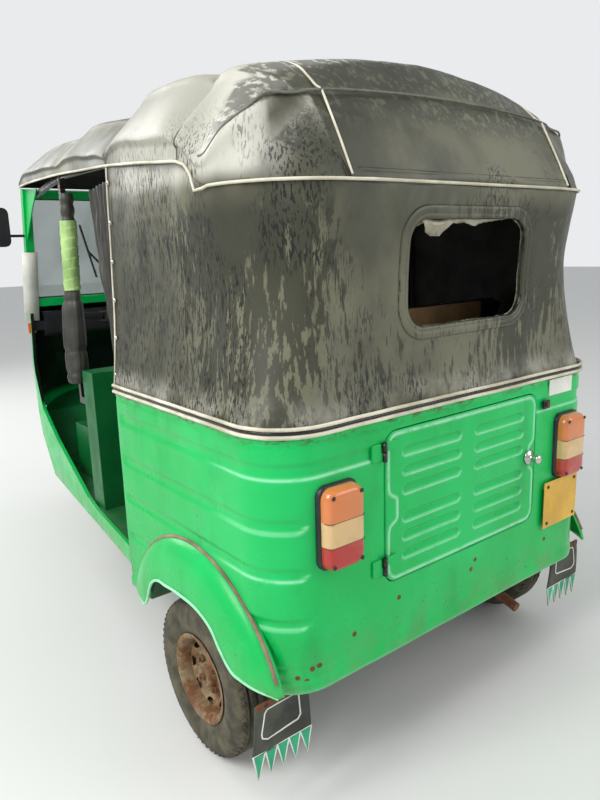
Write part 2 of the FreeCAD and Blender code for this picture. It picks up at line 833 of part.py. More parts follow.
def windscreen():
    """Flat pane that fills the frame."""
    height = math.dist(SCREEN_BASE, SCREEN_TOP)
    margin = SCREEN_BAR / height
    depth = (SCREEN_DEPTH - PANE_THICKNESS) / 2
    low = SCREEN_BASE_HALF - SCREEN_BAR
    high = SCREEN_TOP_HALF - SCREEN_BAR
    corners = [screen_point(low, margin, depth), screen_point(high, 1 - margin, depth),
               screen_point(-high, 1 - margin, depth), screen_point(-low, margin, depth)]
    normal = screen_point(0, 0, 1) - screen_point(0, 0)
    return Part.Face(Part.makePolygon(corners + corners[:1])).extrude(normal * PANE_THICKNESS)


def dashboard():
    """Shelf behind the scuttle with a round instrument on its middle."""
    front, rear = DASH_Y
    shelf = box((-DASH_HALF, DASH_HALF), DASH_Y, DASH_Z)
    shelf = shelf.makeChamfer(DASH_EDGE, [e for e in shelf.Edges if abs(e.tangentAt(0).x) > 0.9])
    dial = rod(V(0, rear - DIAL_DEPTH / 2, DIAL_Z), V(0, rear + DIAL_DEPTH, DIAL_Z), DIAL_RADIUS)
    width, inset = DASH_BRACKET
    brackets = [box(around(side * DASH_HALF, width), (front + inset, rear - inset), DASH_BRACKET_Z)
                for side in (-1, 1)]
    return joined([shelf, dial] + brackets).common(cowl_solid(COWL_WALL + FIT))


def forward_rod(x, y, z, length, radius):
    """Round body from a place towards the front."""
    return rod(V(x, y, z), V(x, y - length, z), radius)


def front_lamp_bodies():
    """Bucket and bezel of the headlamp, and an indicator on its stalk at each side."""
    bucket = forward_rod(0, HEADLAMP_SEAT_Y, HEADLAMP_Z, HEADLAMP_DEPTH, HEADLAMP_RADIUS - 8)
    bezel = forward_rod(0, HEADLAMP_SEAT_Y - HEADLAMP_DEPTH, HEADLAMP_Z, BEZEL_DEPTH, HEADLAMP_RADIUS)
    x, z = INDICATOR
    stalk = forward_rod(x, INDICATOR_SEAT_Y + STALK_LENGTH, z, STALK_LENGTH + FIT, STALK_RADIUS)
    cup = forward_rod(x, INDICATOR_SEAT_Y, z, INDICATOR_DEPTH, INDICATOR_RADIUS)
    body = cowl_solid(-FIT)
    side = min(joined([stalk, cup]).cut(body).Solids, key=lambda solid: solid.CenterOfMass.y)
    return Part.makeCompound([joined([bucket, bezel]).cut(body), side, mirrored(side)])


def front_lamp_lenses():
    """Glass of the headlamp and of the two indicators."""
    y = HEADLAMP_SEAT_Y - HEADLAMP_DEPTH - BEZEL_DEPTH - FIT
    glass = forward_rod(0, y, HEADLAMP_Z, LENS_DEPTH, HEADLAMP_RADIUS - 6)
    x, z = INDICATOR
    cap = forward_rod(x, INDICATOR_SEAT_Y - INDICATOR_DEPTH - FIT, z, LENS_DEPTH, INDICATOR_RADIUS - 3)
    return Part.makeCompound([glass, cap, mirrored(cap)])


def wiper():
    """One arm from a spindle below the pane, with its blade."""
    tip_x, tip_share = WIPER_TIP
    half_x, half_share = BLADE_HALF
    off = -WIPER_BAR
    spindle = strip(screen_point(*WIPER_FOOT, -FIT), screen_point(*WIPER_FOOT, -WIPER_BOSS), WIPER_BOSS)
    arm = strip(screen_point(*WIPER_FOOT, off), screen_point(*WIPER_TIP, off), WIPER_BAR)
    blade = strip(screen_point(tip_x - half_x, tip_share - half_share, off),
                  screen_point(tip_x + half_x, tip_share + half_share, off), WIPER_BAR)
    return joined([spindle, arm, blade])


def mirrors():
    """Round-cornered heads on bent stalks from the pillars."""
    edge = SCREEN_BASE_HALF + MIRROR_SHARE * SCREEN_SPREAD + FIT
    foot = screen_point(edge, MIRROR_SHARE, SCREEN_DEPTH / 2)
    elbow = V(MIRROR_X, foot.y, foot.z)
    elbow_end = elbow + V(MIRROR_STALK / 2, 0, 0)
    below = V(MIRROR_X, foot.y, MIRROR_Z - MIRROR_HEIGHT / 2 + MIRROR_STALK)
    stalk = [strip(foot, elbow_end, MIRROR_STALK), strip(elbow, below, MIRROR_STALK)]
    head = rear_pad(around(MIRROR_X, MIRROR_WIDTH), around(foot.y, MIRROR_DEPTH),
                    around(MIRROR_Z, MIRROR_HEIGHT), MIRROR_CORNER)
    return both_sides(joined([head] + stalk))


def partition():
    """Posts, beam and panel between the driver and the passengers."""
    posts = []
    for side in (-1, 1):
        x = side * (PARTITION_X - POST_WIDTH / 2)
        posts.append(box(around(x, POST_WIDTH), (PARTITION_FRONT_Y, PARTITION_REAR_Y),
                         (FLOOR_TOP_Z, PARTITION_TOP_Z)))
    reach = PARTITION_X - POST_WIDTH
    beam_z = PARTITION_TOP_Z - BEAM_HEIGHT
    beam = box((-reach, reach), (PARTITION_FRONT_Y, PARTITION_REAR_Y), (beam_z, PARTITION_TOP_Z))
    middle = (PARTITION_FRONT_Y + PARTITION_REAR_Y) / 2
    panel = box((-reach, reach), around(middle, PANEL), (PARTITION_PANEL_Z, beam_z))
    return joined(posts + [beam, panel])


def driver_seat_base():
    """Pressed pedestal, open towards the passengers' feet."""
    half = SEAT_BASE_HALF
    front, rear = SEAT_BASE_FRONT_Y, PARTITION_FRONT_Y
    foot = FLOOR_TOP_Z + FLOOR_RIB_HEIGHT
    top = box((-half, half), (front, rear), (SEAT_BASE_TOP_Z - PANEL, SEAT_BASE_TOP_Z))
    face = box((-half, half), (front, front + PANEL), (foot, SEAT_BASE_TOP_Z))
    side = box((half - PANEL, half), (front, rear), (foot, SEAT_BASE_TOP_Z))
    return joined([top, face, side, mirrored(side)])


def driver_seat():
    base = SEAT_BASE_TOP_Z + FIT
    front, rear = SEAT_BASE_FRONT_Y + SEAT_GAP, PARTITION_FRONT_Y - SEAT_GAP
    return upright_pad((-DRIVER_SEAT_HALF, DRIVER_SEAT_HALF), (front, rear), (base, base + CUSHION),
                       SEAT_CORNER)


def driver_backrest():
    """Pad leaning on the partition's beam."""
    return side_prism([(PARTITION_FRONT_Y - FIT + y, z) for y, z in REST_PROFILE], (-REST_HALF, REST_HALF))


def bench_base():
    """Box under the passengers' cushion, in front of the engine."""
    front = box((-BENCH_HALF, BENCH_HALF), (TUB_FRONT_Y, TUB_FRONT_Y + PANEL),
                (RAIL_TOP_Z, BENCH_TOP_Z))
    top = box((-BENCH_HALF, BENCH_HALF), (TUB_FRONT_Y, BENCH_REAR_Y),
              (BENCH_TOP_Z - PANEL, BENCH_TOP_Z))
    return joined([front, top])


def engine_cover():
    """Upright behind the backrest and the luggage shelf over the engine."""
    upright = box((-COVER_HALF, COVER_HALF), (BENCH_REAR_Y, BENCH_REAR_Y + PANEL),
                  (BENCH_TOP_Z - PANEL, ENGINE_COVER_Z))
    shelf = wrap(TUB_WALL + FIT, (ENGINE_COVER_Z - PANEL, ENGINE_COVER_Z), BENCH_REAR_Y)
    return joined([upright, shelf])


def passenger_seat():
    base = BENCH_TOP_Z + FIT
    return upright_pad((-SEAT_HALF, SEAT_HALF), (TUB_FRONT_Y - SEAT_NOSE, BENCH_REAR_Y - BACK_DEPTH),
                       (base, base + BENCH_CUSHION), SEAT_CORNER)


def passenger_backrest():
    """Leaning pad whose back rests on the engine cover's edge."""
    low = BENCH_TOP_Z + BENCH_CUSHION + 2 * FIT
    slope = BACK_LEAN / (BACK_TOP_Z - low)
    rear = BENCH_REAR_Y - FIT - slope * (ENGINE_COVER_Z + SHELF_CLEAR - low)
    crest = rear + BACK_LEAN
    profile = [(rear, low), (crest, BACK_TOP_Z), (crest - BACK_PAD / 2, BACK_TOP_Z + BACK_CROWN),
               (crest - BACK_PAD, BACK_TOP_Z), (rear - BACK_PAD, low)]
    return side_prism(profile, (-SEAT_HALF, SEAT_HALF))


def door_block(grow, y):
    """The engine door's rounded outline, larger by grow all round."""
    half = DOOR_HALF_WIDTH + grow
    return rear_pad((-half, half), y, (DOOR_BOTTOM_Z - grow, DOOR_TOP_Z + grow), DOOR_CORNER + grow)


def fixed_hinge(z):
    """Leaf on the tub beside the door, with the hinge's lower knuckle."""
    leaf = box((HINGE_X + LEAF_START, HINGE_X + LEAF_REACH), (TUB_REAR_Y - 1, HINGE_Y - LEAF_LAP),
               around(z, HINGE_HEIGHT))
    tongue = box((HINGE_X, HINGE_X + LEAF_START + LEAF_LAP), (HINGE_Y - LEAF_LAP - 2, HINGE_Y - 2),
                 (z - HINGE_HEIGHT / 2, z - FIT))
    knuckle = rod(V(HINGE_X, HINGE_Y, z - HINGE_HEIGHT / 2), V(HINGE_X, HINGE_Y, z - FIT), HINGE_RADIUS)
    return [leaf, tongue, knuckle]


def arch_start():
    """Angle from the rear at which the wheel arch leaves the tub's hem."""
    return math.degrees(math.asin((TUB_BOTTOM_Z - TYRE_RADIUS) / (ARCH_RADIUS - HOUSE_WALL)))


def arch_line(radius):
    """Corners of the wheel arch as (y, z) points, from the rear to the front."""
    start = arch_start()
    points = []
    for number in range(WING_FACETS + 1):
        angle = math.radians(start + (180 - 2 * start) * number / WING_FACETS)
        points.append((REAR_AXLE_Y + radius * math.cos(angle), TYRE_RADIUS + radius * math.sin(angle)))
    return points


def rear_tub():
    """Side and rear panels in one wrap, with hem, beads, arches, jambs and the engine opening."""
    hem_top = TUB_BOTTOM_Z + HEM_HEIGHT
    hollow = wrap(TUB_WALL, (TUB_BOTTOM_Z - 1, TUB_TOP_Z + 1), TUB_FRONT_Y - 1)
    pieces = [wrap(0, (hem_top, TUB_TOP_Z)), wrap(HEM_STEP, (TUB_BOTTOM_Z, hem_top))]
    for z, reach in TUB_BEADS:
        height = around(z, BEAD_HEIGHT)
        band = wrap(-BEAD_RISE, height, BEAD_FRONT_Y).cut(wrap(TUB_WALL / 2, height, BEAD_FRONT_Y - 1))
        pieces.append(band.cut(box((-reach, reach), (TUB_REAR_Y - 40, TUB_REAR_Y + 40), height)))
    for z in HINGE_Z:
        pieces += fixed_hinge(z)
    inner = TUB_HALF_WIDTH - TUB_WALL
    jamb = box((BENCH_HALF + FIT, inner + 2), (TUB_FRONT_Y, TUB_FRONT_Y + PANEL), (TUB_BOTTOM_Z, TUB_TOP_Z))
    line = arch_line(ARCH_RADIUS)
    arch = side_prism([(line[0][0], 0), *line, (line[-1][0], 0)], (HOUSE_INNER_X, WIDE[1]))
    shell = joined(pieces).cut(hollow).cut(arch).cut(mirrored(arch))
    shell = shell.cut(door_block(DOOR_GAP, (TUB_REAR_Y - 40, TUB_REAR_Y + 1)))
    return joined([shell, jamb, mirrored(jamb)])


def wheel_houses():
    """Inner arches over the rear wheels, with a wall inboard."""
    skin_outer, skin_inner = ARCH_RADIUS - FIT, ARCH_RADIUS - HOUSE_WALL
    inner_x, outer_x = HOUSE_INNER_X, TUB_HALF_WIDTH
    profile = [(inner_x, skin_inner), (inner_x, skin_outer), (outer_x, skin_outer), (outer_x, skin_inner)]
    start = arch_start()
    ring = turned(profile, (REAR_AXLE_Y, TYRE_RADIUS), start, 180 - 2 * start, WING_FACETS)
    wall = [(y, z) for y, z in arch_line(skin_outer) if z > HOUSE_SKIRT_Z]
    return both_sides(joined([ring, side_prism(wall, (inner_x, inner_x + HOUSE_WALL))]))


def wings():
    """Flared wings turned round the wheels, trimmed to the tub's side and corner."""
    crest_x = WING_PROFILE[-1][0]
    outer = [(x, radius) for x, radius, _ in WING_PROFILE]
    inner = [(x - WING_SHEET, radius) for x, _, radius in reversed(WING_PROFILE)]
    lip_x = crest_x - WING_LIP_WIDTH
    lip = [(crest_x, WING_LIP_RADIUS), (lip_x, WING_LIP_RADIUS), (lip_x, WING_LIP_RADIUS + WING_SHEET),
           (crest_x - WING_SHEET, WING_LIP_RADIUS + WING_SHEET)]
    sweep = 180 - WING_FRONT_ANGLE - WING_REAR_ANGLE
    left = turned(outer + lip + inner, (REAR_AXLE_Y, TYRE_RADIUS), WING_REAR_ANGLE, sweep, WING_FACETS)
    return both_sides(left.cut(wrap(-FIT, (0, TUB_TOP_Z))))


def louvre(x, z):
    """Pressed hood, open below, standing out of the door's face."""
    half = LOUVRE_WIDTH / 2
    top, low = z + LOUVRE_HEIGHT / 2, z - LOUVRE_HEIGHT / 2
    face, crest = TUB_REAR_Y, TUB_REAR_Y + LOUVRE_RISE
    out, down = LOUVRE_BROW
    hood = [(face - LOUVRE_ROOT, top), (face + LOUVRE_RISE * out, top - LOUVRE_HEIGHT * down),
            (crest, low + LOUVRE_LIP), (crest, low), (crest - LOUVRE_SHEET, low),
            (face - LOUVRE_ROOT, top - LOUVRE_LIP)]
    return side_prism(hood, (x - half, x + half))


def engine_door():
    """Louvred door with an edge bead and the moving hinge leaves."""
    panel = door_block(0, (TUB_REAR_Y - DOOR_SHEET, TUB_REAR_Y))
    bead_y = (TUB_REAR_Y - 1, TUB_REAR_Y + DOOR_BEAD_RISE)
    ring = door_block(-DOOR_BEAD_INSET, bead_y).cut(door_block(-DOOR_BEAD_INSET - DOOR_BEAD, bead_y))
    pieces = [ring]
    for bank_x in (-LOUVRE_BANK_X, LOUVRE_BANK_X):
        for bank_z in LOUVRE_BANK_Z:
            for number in range(LOUVRES_IN_BANK):
                z = bank_z + (number - (LOUVRES_IN_BANK - 1) / 2) * LOUVRE_PITCH
                pieces.append(louvre(bank_x, z))
                slot = box(around(bank_x, LOUVRE_WIDTH - 2 * SLOT_INSET),
                           (TUB_REAR_Y - DOOR_SHEET, TUB_REAR_Y),
                           (z - LOUVRE_HEIGHT / 2, z - LOUVRE_SHEET))
                panel = panel.cut(slot)
    for z in HINGE_Z:
        low, high = z + FIT, z + HINGE_HEIGHT / 2
        pieces.append(box((HINGE_X - LEAF_REACH, HINGE_X), (TUB_REAR_Y + FIT, HINGE_Y + 1), (low, high)))
        pieces.append(box((HINGE_X - LEAF_REACH, DOOR_HALF_WIDTH - LEAF_LAP),
                          around(TUB_REAR_Y, LEAF_LAP - 1), (low, high)))
        pieces.append(shaft(V(HINGE_X, HINGE_Y, low), V(HINGE_X, HINGE_Y, high), HINGE_RADIUS))
    return joined([panel] + pieces)


def door_handle():
    """Turn handle: round rose, spindle and cross grip."""
    seat, rose_y = TUB_REAR_Y + DOOR_BEAD_RISE + FIT, TUB_REAR_Y + ROSE_DEPTH
    rose = rod(V(HANDLE_X, seat, HANDLE_Z), V(HANDLE_X, rose_y, HANDLE_Z), HANDLE_ROSE)
    spindle = box(around(HANDLE_X, HANDLE_SPINDLE), (TUB_REAR_Y + FIT, rose_y + ROSE_DEPTH),
                  around(HANDLE_Z, HANDLE_SPINDLE))
    grip = box(around(HANDLE_X, HANDLE_SPAN), (rose_y + ROSE_DEPTH - 2, TUB_REAR_Y + HANDLE_DEPTH),
               around(HANDLE_Z, HANDLE_GRIP))
    grip = grip.makeChamfer(HANDLE_GRIP / 3, [e for e in grip.Edges if abs(e.tangentAt(0).z) > 0.9])
    grip.rotate(V(HANDLE_X, 0, HANDLE_Z), V(0, 1, 0), HANDLE_TILT)
    return joined([rose, spindle, grip])


def tail_lamp_bases():
    """Rubber-edged bases shaped to the tub where its corner turns away."""
    x = around(LAMP_X, LAMP_WIDTH + 2 * LAMP_BASE_EDGE)
    z = around(LAMP_Z, LAMP_HEIGHT + 2 * LAMP_BASE_EDGE)
    lens_y = TUB_REAR_Y + LAMP_BASE_DEPTH
    block = rear_pad(x, (lens_y - LAMP_REACH, lens_y), z, LAMP_CORNER)
    return both_sides(block.cut(wrap(-FIT, (0, TUB_TOP_Z))))


def tail_lamp_lenses():
    """One moulded lens a side, its three colours parted by grooves."""
    base_y = TUB_REAR_Y + LAMP_BASE_DEPTH + FIT
    x, z = around(LAMP_X, LAMP_WIDTH), around(LAMP_Z, LAMP_HEIGHT)
    lens = rear_pad(x, (base_y, REAR_END_Y), z, LAMP_CORNER)
    for share in (1 / 3, 2 / 3):
        groove_z = z[0] + share * LAMP_HEIGHT
        lens = lens.cut(box((x[0] - 1, x[1] + 1), (REAR_END_Y - LAMP_GROOVE, REAR_END_Y + 1),
                            around(groove_z, LAMP_GROOVE)))
    return both_sides(lens)


def number_plate():
    """Blank plate held off the tub by two spacers."""
    y = TUB_REAR_Y + PLATE_GAP
    pieces = [box(around(PLATE_X, PLATE_WIDTH), (y, y + PLATE_THICKNESS), around(PLATE_Z, PLATE_HEIGHT))]
    for x in (PLATE_X, PLATE_X + PLATE_SPACER_ASIDE):
        pieces.append(box(around(x, PLATE_SPACER), (TUB_REAR_Y + FIT, y),
                          around(PLATE_Z + PLATE_SPACER_UP, PLATE_SPACER)))
    return joined(pieces)


def mud_flaps():
    """Rubber flaps behind the rear wheels, with a saw-tooth hem."""
    inner, outer = FLAP_X
    depth, height = FLAP_BAR
    top = TUB_BOTTOM_Z - FIT
    pitch = (outer - inner) / FLAP_TEETH
    points = [(inner, top - 2), (outer, top - 2), (outer, FLAP_HEM_Z)]
    for number in range(FLAP_TEETH):
        points.append((outer - (number + 0.5) * pitch, FLAP_TIP_Z))
        points.append((outer - (number + 1) * pitch, FLAP_HEM_Z))
    flap = rear_prism(points, (FLAP_Y, FLAP_Y + FLAP_SHEET))
    bar = box((inner - depth, outer), (FLAP_Y - depth, FLAP_Y), (top - height, top))
    return both_sides(joined([flap, bar]))


def trim_beading():
    """Double bead along the joint of hood and tub."""
    front = TUB_FRONT_Y - 2
    reach = TRIM_BEAD + TRIM_GAP / 2
    z = (TUB_TOP_Z - reach, TUB_TOP_Z + reach)
    groove = around(TUB_TOP_Z, TRIM_GAP)
    strip_skin = wrap(-TRIM_BEAD, z, front).cut(wrap(-FIT, z, front - 1))
    return strip_skin.cut(wrap(-TRIM_BEAD - 1, groove, front - 1).cut(wrap(-TRIM_STRIP, groove, front - 2)))


def hood_skirt():
    """Side curtains and back of the hood in one wrap, with the rear window cut."""
    shell = skirt_solid(0, TUB_FRONT_Y).cut(skirt_solid(HOOD_WALL, TUB_FRONT_Y - 1, 1))
    hem = TUB_TOP_Z + FIT
    rear = EAVE_REAR_Y + 20
    top = [(y, z - VALANCE_FIT) for y, z in (*VALANCE, (rear, EAVE_Z))]
    outline = top + [(rear, hem), (TUB_FRONT_Y, hem)]
    shell = shell.common(side_prism(outline, WIDE))
    pane = rear_pad((-WINDOW_HALF, WINDOW_HALF), (EAVE_REAR_Y - 60, EAVE_REAR_Y + 40),
                    (WINDOW_BOTTOM_Z, WINDOW_TOP_Z), WINDOW_CORNER)
    return shell.cut(pane)


def hood_roof():
    """Roof in three puffed bays that ends in the slope above the back."""
    return roof_solid(0).cut(roof_solid(HOOD_WALL))


def hoop(outline, y):
    """Square-tube hoop whose outside follows an outline of (x, z) points, its feet open."""
    foot_z = outline[0][1]
    face = Part.Face(polygon([V(x, y - TUBE / 2, z) for x, z in outline]))
    lowered = [(x, z - 2 * TUBE if z == foot_z else z) for x, z in outline]
    inner = Part.Face(polygon([V(x, y - TUBE / 2, z) for x, z in lowered])).makeOffset2D(-TUBE)
    return face.cut(inner).extrude(V(0, TUBE, 0))


def bow(y, foot_z, foot_half=None):
    """One bow of the hood, a hoop under the roof's cloth."""
    half = roof_value(y, 1) - TUBE_CLEAR
    side_z = roof_value(y, 3) - TUBE_CLEAR
    shoulder_x = roof_value(y, 1) - roof_value(y, 4)
    shoulder_z = roof_value(y, 5) - TUBE_CLEAR
    left = [(foot_half or half, foot_z), (foot_half or half, side_z), (shoulder_x, shoulder_z)]
    crown = (0, roof_value(y, 6) - TUBE_CLEAR)
    return hoop(left + [crown] + [(-x, z) for x, z in reversed(left)], y)


def hood_frame():
    """Three bows, the side rails between them and the eave rail, all of square tube."""
    bows = [bow(BOW_DRIVER_Y, BOW_DRIVER_FOOT_Z, BOW_DRIVER_X),
            bow(BOW_MID_Y, BENCH_TOP_Z + FIT, BOW_MID_X),
            bow(BOW_REAR_Y, EAVE_RAIL_Z)]
    header = screen_point(0, 1, SCREEN_DEPTH)
    rail = [V(SCREEN_TOP_HALF - RAIL_INSET, header.y + RAIL_HEAD[0], header.z + RAIL_HEAD[1])]
    rear_half = roof_value(BOW_REAR_Y, 1) - TUBE_CLEAR
    for y, half in ((BOW_DRIVER_Y, BOW_DRIVER_X), (BOW_MID_Y, BOW_MID_X), (BOW_REAR_Y, rear_half)):
        rail.append(V(half - TUBE / 2, y, roof_value(y, 3) - TUBE_CLEAR - TUBE))
    left = [strip(a, b, TUBE) for a, b in zip(rail, rail[1:])]
    left.append(box((BOW_DRIVER_X - TUBE, BOW_DRIVER_X), (BOW_DRIVER_Y, PARTITION_FRONT_Y - FIT),
                    (BOW_DRIVER_FOOT_Z, BOW_DRIVER_FOOT_Z + BOW_FOOT)))
    outline = [V(x, y, EAVE_RAIL_Z) for x, y in EAVE_RAIL]
    lowered = [V(x, y - 2 * TUBE if y == BOW_REAR_Y else y, EAVE_RAIL_Z) for x, y in EAVE_RAIL]
    inner = Part.Face(polygon(lowered + flipped(lowered))).makeOffset2D(-TUBE)
    eave = Part.Face(polygon(outline + flipped(outline))).cut(inner).extrude(V(0, 0, TUBE))
    return joined(bows + [eave] + left + [mirrored(piece) for piece in left])


def curtain_rolls():
    """Rolled side curtains round the posts behind the driver."""
    x = BOW_DRIVER_X - TUBE / 2
    roll = rod(V(x, BOW_DRIVER_Y, CURTAIN_BOTTOM_Z), V(x, BOW_DRIVER_Y, CURTAIN_TOP_Z), CURTAIN_RADIUS)
    room = TUBE + 2 * FIT
    post = box(around(x, room), around(BOW_DRIVER_Y, room), (CURTAIN_BOTTOM_Z, CURTAIN_TOP_Z))
    return both_sides(roll.cut(post))


def chassis_frame():
    """Two rails under the floor with their cross members and the arms' brackets."""
    low = RAIL_TOP_Z - RAIL_HEIGHT
    rail = box(around(RAIL_X, RAIL_WIDTH), (FLOOR_FRONT_Y + 20, RAIL_REAR_Y), (low, RAIL_TOP_Z))
    pieces = [rail, mirrored(rail)]
    for y, half in CROSS_MEMBERS:
        pieces.append(box((-half, half), around(y, RAIL_WIDTH * 0.8), (low + 6, RAIL_TOP_Z)))
    y, z = ARM_PIVOT
    for side in (-1, 1):
        pieces.append(box(around(side * PIVOT_BRACKET_X, PIVOT_BRACKET[0]), around(y, PIVOT_BRACKET[1]),
                          (z + PIVOT_RADIUS, RAIL_TOP_Z)))
    return joined(pieces)


def axle_hole(x, y, radius):
    """Bore across the vehicle at a wheel's axle, to be taken out of what carries it."""
    return shaft(V(x[0], y, TYRE_RADIUS), V(x[1], y, TYRE_RADIUS), radius)


def trailing_arms():
    """Arms from the chassis to the wheel bosses, with room for the stub axles."""
    y, z = ARM_PIVOT
    pivot = rod(V(PIVOT_START_X, y, z), V(ARM_X + ARM_WIDTH / 2, y, z), PIVOT_RADIUS - FIT)
    arm = side_prism([(y, z + PIVOT_RADIUS), (y, z - PIVOT_RADIUS), (REAR_AXLE_Y, TYRE_RADIUS - ARM_END),
                      (REAR_AXLE_Y, TYRE_RADIUS + ARM_END)], around(ARM_X - 2, ARM_WIDTH))
    near, far = around(ARM_X, BOSS_LENGTH)
    boss = rod(V(near, REAR_AXLE_Y, TYRE_RADIUS), V(far, REAR_AXLE_Y, TYRE_RADIUS), BOSS_RADIUS)
    perch = box((SHOCK_X - PERCH_HALF, ARM_X), around(SHOCK_Y, 2 * PERCH_HALF),
                (SHOCK_FOOT_Z - SPRING_RADIUS, SHOCK_FOOT_Z))
    shape = joined([pivot, arm, boss, perch])
    return both_sides(shape.cut(axle_hole(around(ARM_X, 2 * BOSS_LENGTH), REAR_AXLE_Y, AXLE_RADIUS + FIT)))


def rear_shocks():
    """Spring and damper from each arm up to the bench."""
    foot, head = SHOCK_FOOT_Z + FIT, BENCH_TOP_Z - PANEL - FIT
    damper = rod(V(SHOCK_X, SHOCK_Y, foot), V(SHOCK_X, SHOCK_Y, head), SHOCK_RADIUS)
    spring = rod(V(SHOCK_X, SHOCK_Y, foot), V(SHOCK_X, SHOCK_Y, head - DAMPER_SHOWS), SPRING_RADIUS)
    return both_sides(joined([damper, spring]))


def engine():
    """Engine and gearbox as plain blocks, on the chassis' cross members."""
    block = box(ENGINE_X, ENGINE_Y, (RAIL_TOP_Z, ENGINE_TOP_Z))
    gearbox = box((-GEARBOX_HALF, GEARBOX_HALF), GEARBOX_Y, GEARBOX_Z)
    gearbox = gearbox.makeChamfer(GEARBOX_EDGE, [e for e in gearbox.Edges if abs(e.tangentAt(0).x) > 0.9])
    return joined([block, gearbox])


def drive_shafts():
    """Half shafts from the gearbox out to the wheel bosses, with a boot at the gearbox."""
    inner = V(GEARBOX_HALF + BOOT_TILT, REAR_AXLE_Y, SHAFT_INNER_Z)
    outer = V(ARM_X - BOSS_LENGTH / 2 - SHAFT_TILT, REAR_AXLE_Y, TYRE_RADIUS)
    way = (outer - inner).normalize()
    half_shaft, boot = rod(inner, outer, SHAFT_RADIUS), rod(inner, inner + way * BOOT_LENGTH, BOOT_RADIUS)
    return both_sides(joined([half_shaft, boot]))


def silencer():
    """Silencer across the tail with its inlet and outlet pipes."""
    y, z = SILENCER_Y, SILENCER_Z
    low, high = SILENCER_X
    drum = rod(V(low, y, z), V(high, y, z), SILENCER_RADIUS)
    inlet = rod(V(INLET_X, y, z), V(INLET_X, y, RAIL_TOP_Z - FIT), PIPE_RADIUS)
    outlet = rod(V(OUTLET_X, y, z - OUTLET_DROP / 3), V(OUTLET_X, y + OUTLET_RUN, z - OUTLET_DROP),
                 PIPE_RADIUS)
    hanger = box(around(-RAIL_X, HANGER[0]), around(y, HANGER[1]),
                 (z + SILENCER_RADIUS - HANGER_SINK, RAIL_TOP_Z - RAIL_HEIGHT - FIT))
    return joined([drum, inlet, outlet, hanger])


def steering_column():
    """Column through the head tube, from the fork's crown to the handlebar's clamp."""
    return shaft(steer_point(COLUMN_BOTTOM_Z), steer_point(HANDLEBAR_Z), COLUMN_RADIUS)


def bar_end(side):
    return V(side * BAR_HALF_WIDTH, steer_y(HANDLEBAR_Z) + BAR_SWEEP, HANDLEBAR_Z + BAR_RISE)


def bar_mid(side):
    return V(side * BAR_MID.x, steer_y(HANDLEBAR_Z) + BAR_MID.y, HANDLEBAR_Z + BAR_MID.z)


def bar_way(side):
    return (bar_end(side) - bar_mid(side)).normalize()


def handlebar():
    """Bar up to the grips, clamp block, control pods and flat levers."""
    inner = [bar_end(side) - bar_way(side) * GRIP_LENGTH for side in (-1, 1)]
    bar = bent_rod([inner[0], bar_mid(-1), bar_mid(1), inner[1]], BAR_RADIUS, ROD_SIDES)
    below, above = CLAMP_SPAN
    clamp = strip(steer_point(HANDLEBAR_Z - below), steer_point(HANDLEBAR_Z + above), CLAMP_WIDTH)
    pieces = [bar, clamp]
    for side in (-1, 1):
        end, way = bar_end(side), bar_way(side)
        pod = end - way * (GRIP_LENGTH + POD_GAP + POD_LENGTH / 2)
        pieces.append(strip(pod - way * (POD_LENGTH / 2), pod + way * (POD_LENGTH / 2), POD_WIDTH))
        knee = pod + LEVER_REACH
        tip = end + LEVER_REACH
        pieces += [strip(pod, knee, LEVER_WIDTH), strip(knee - way * KNEE_LAP, tip, LEVER_WIDTH)]
    column = shaft(steer_point(HANDLEBAR_Z - 2 * CLAMP_WIDTH), steer_point(HANDLEBAR_Z + FIT),
                   COLUMN_RADIUS + FIT)
    return joined(pieces).cut(column)


def grips():
    """Rubber grips at the bar's ends."""
    pieces = []
    for side in (-1, 1):
        end = bar_end(side)
        pieces.append(rod(end - bar_way(side) * (GRIP_LENGTH - FIT), end, GRIP_RADIUS))
    return Part.makeCompound(pieces)


def guard_span():
    """Angle at which the front guard starts, and how far it reaches round."""
    return GUARD_REAR_ANGLE, 180 - GUARD_FRONT_ANGLE - GUARD_REAR_ANGLE


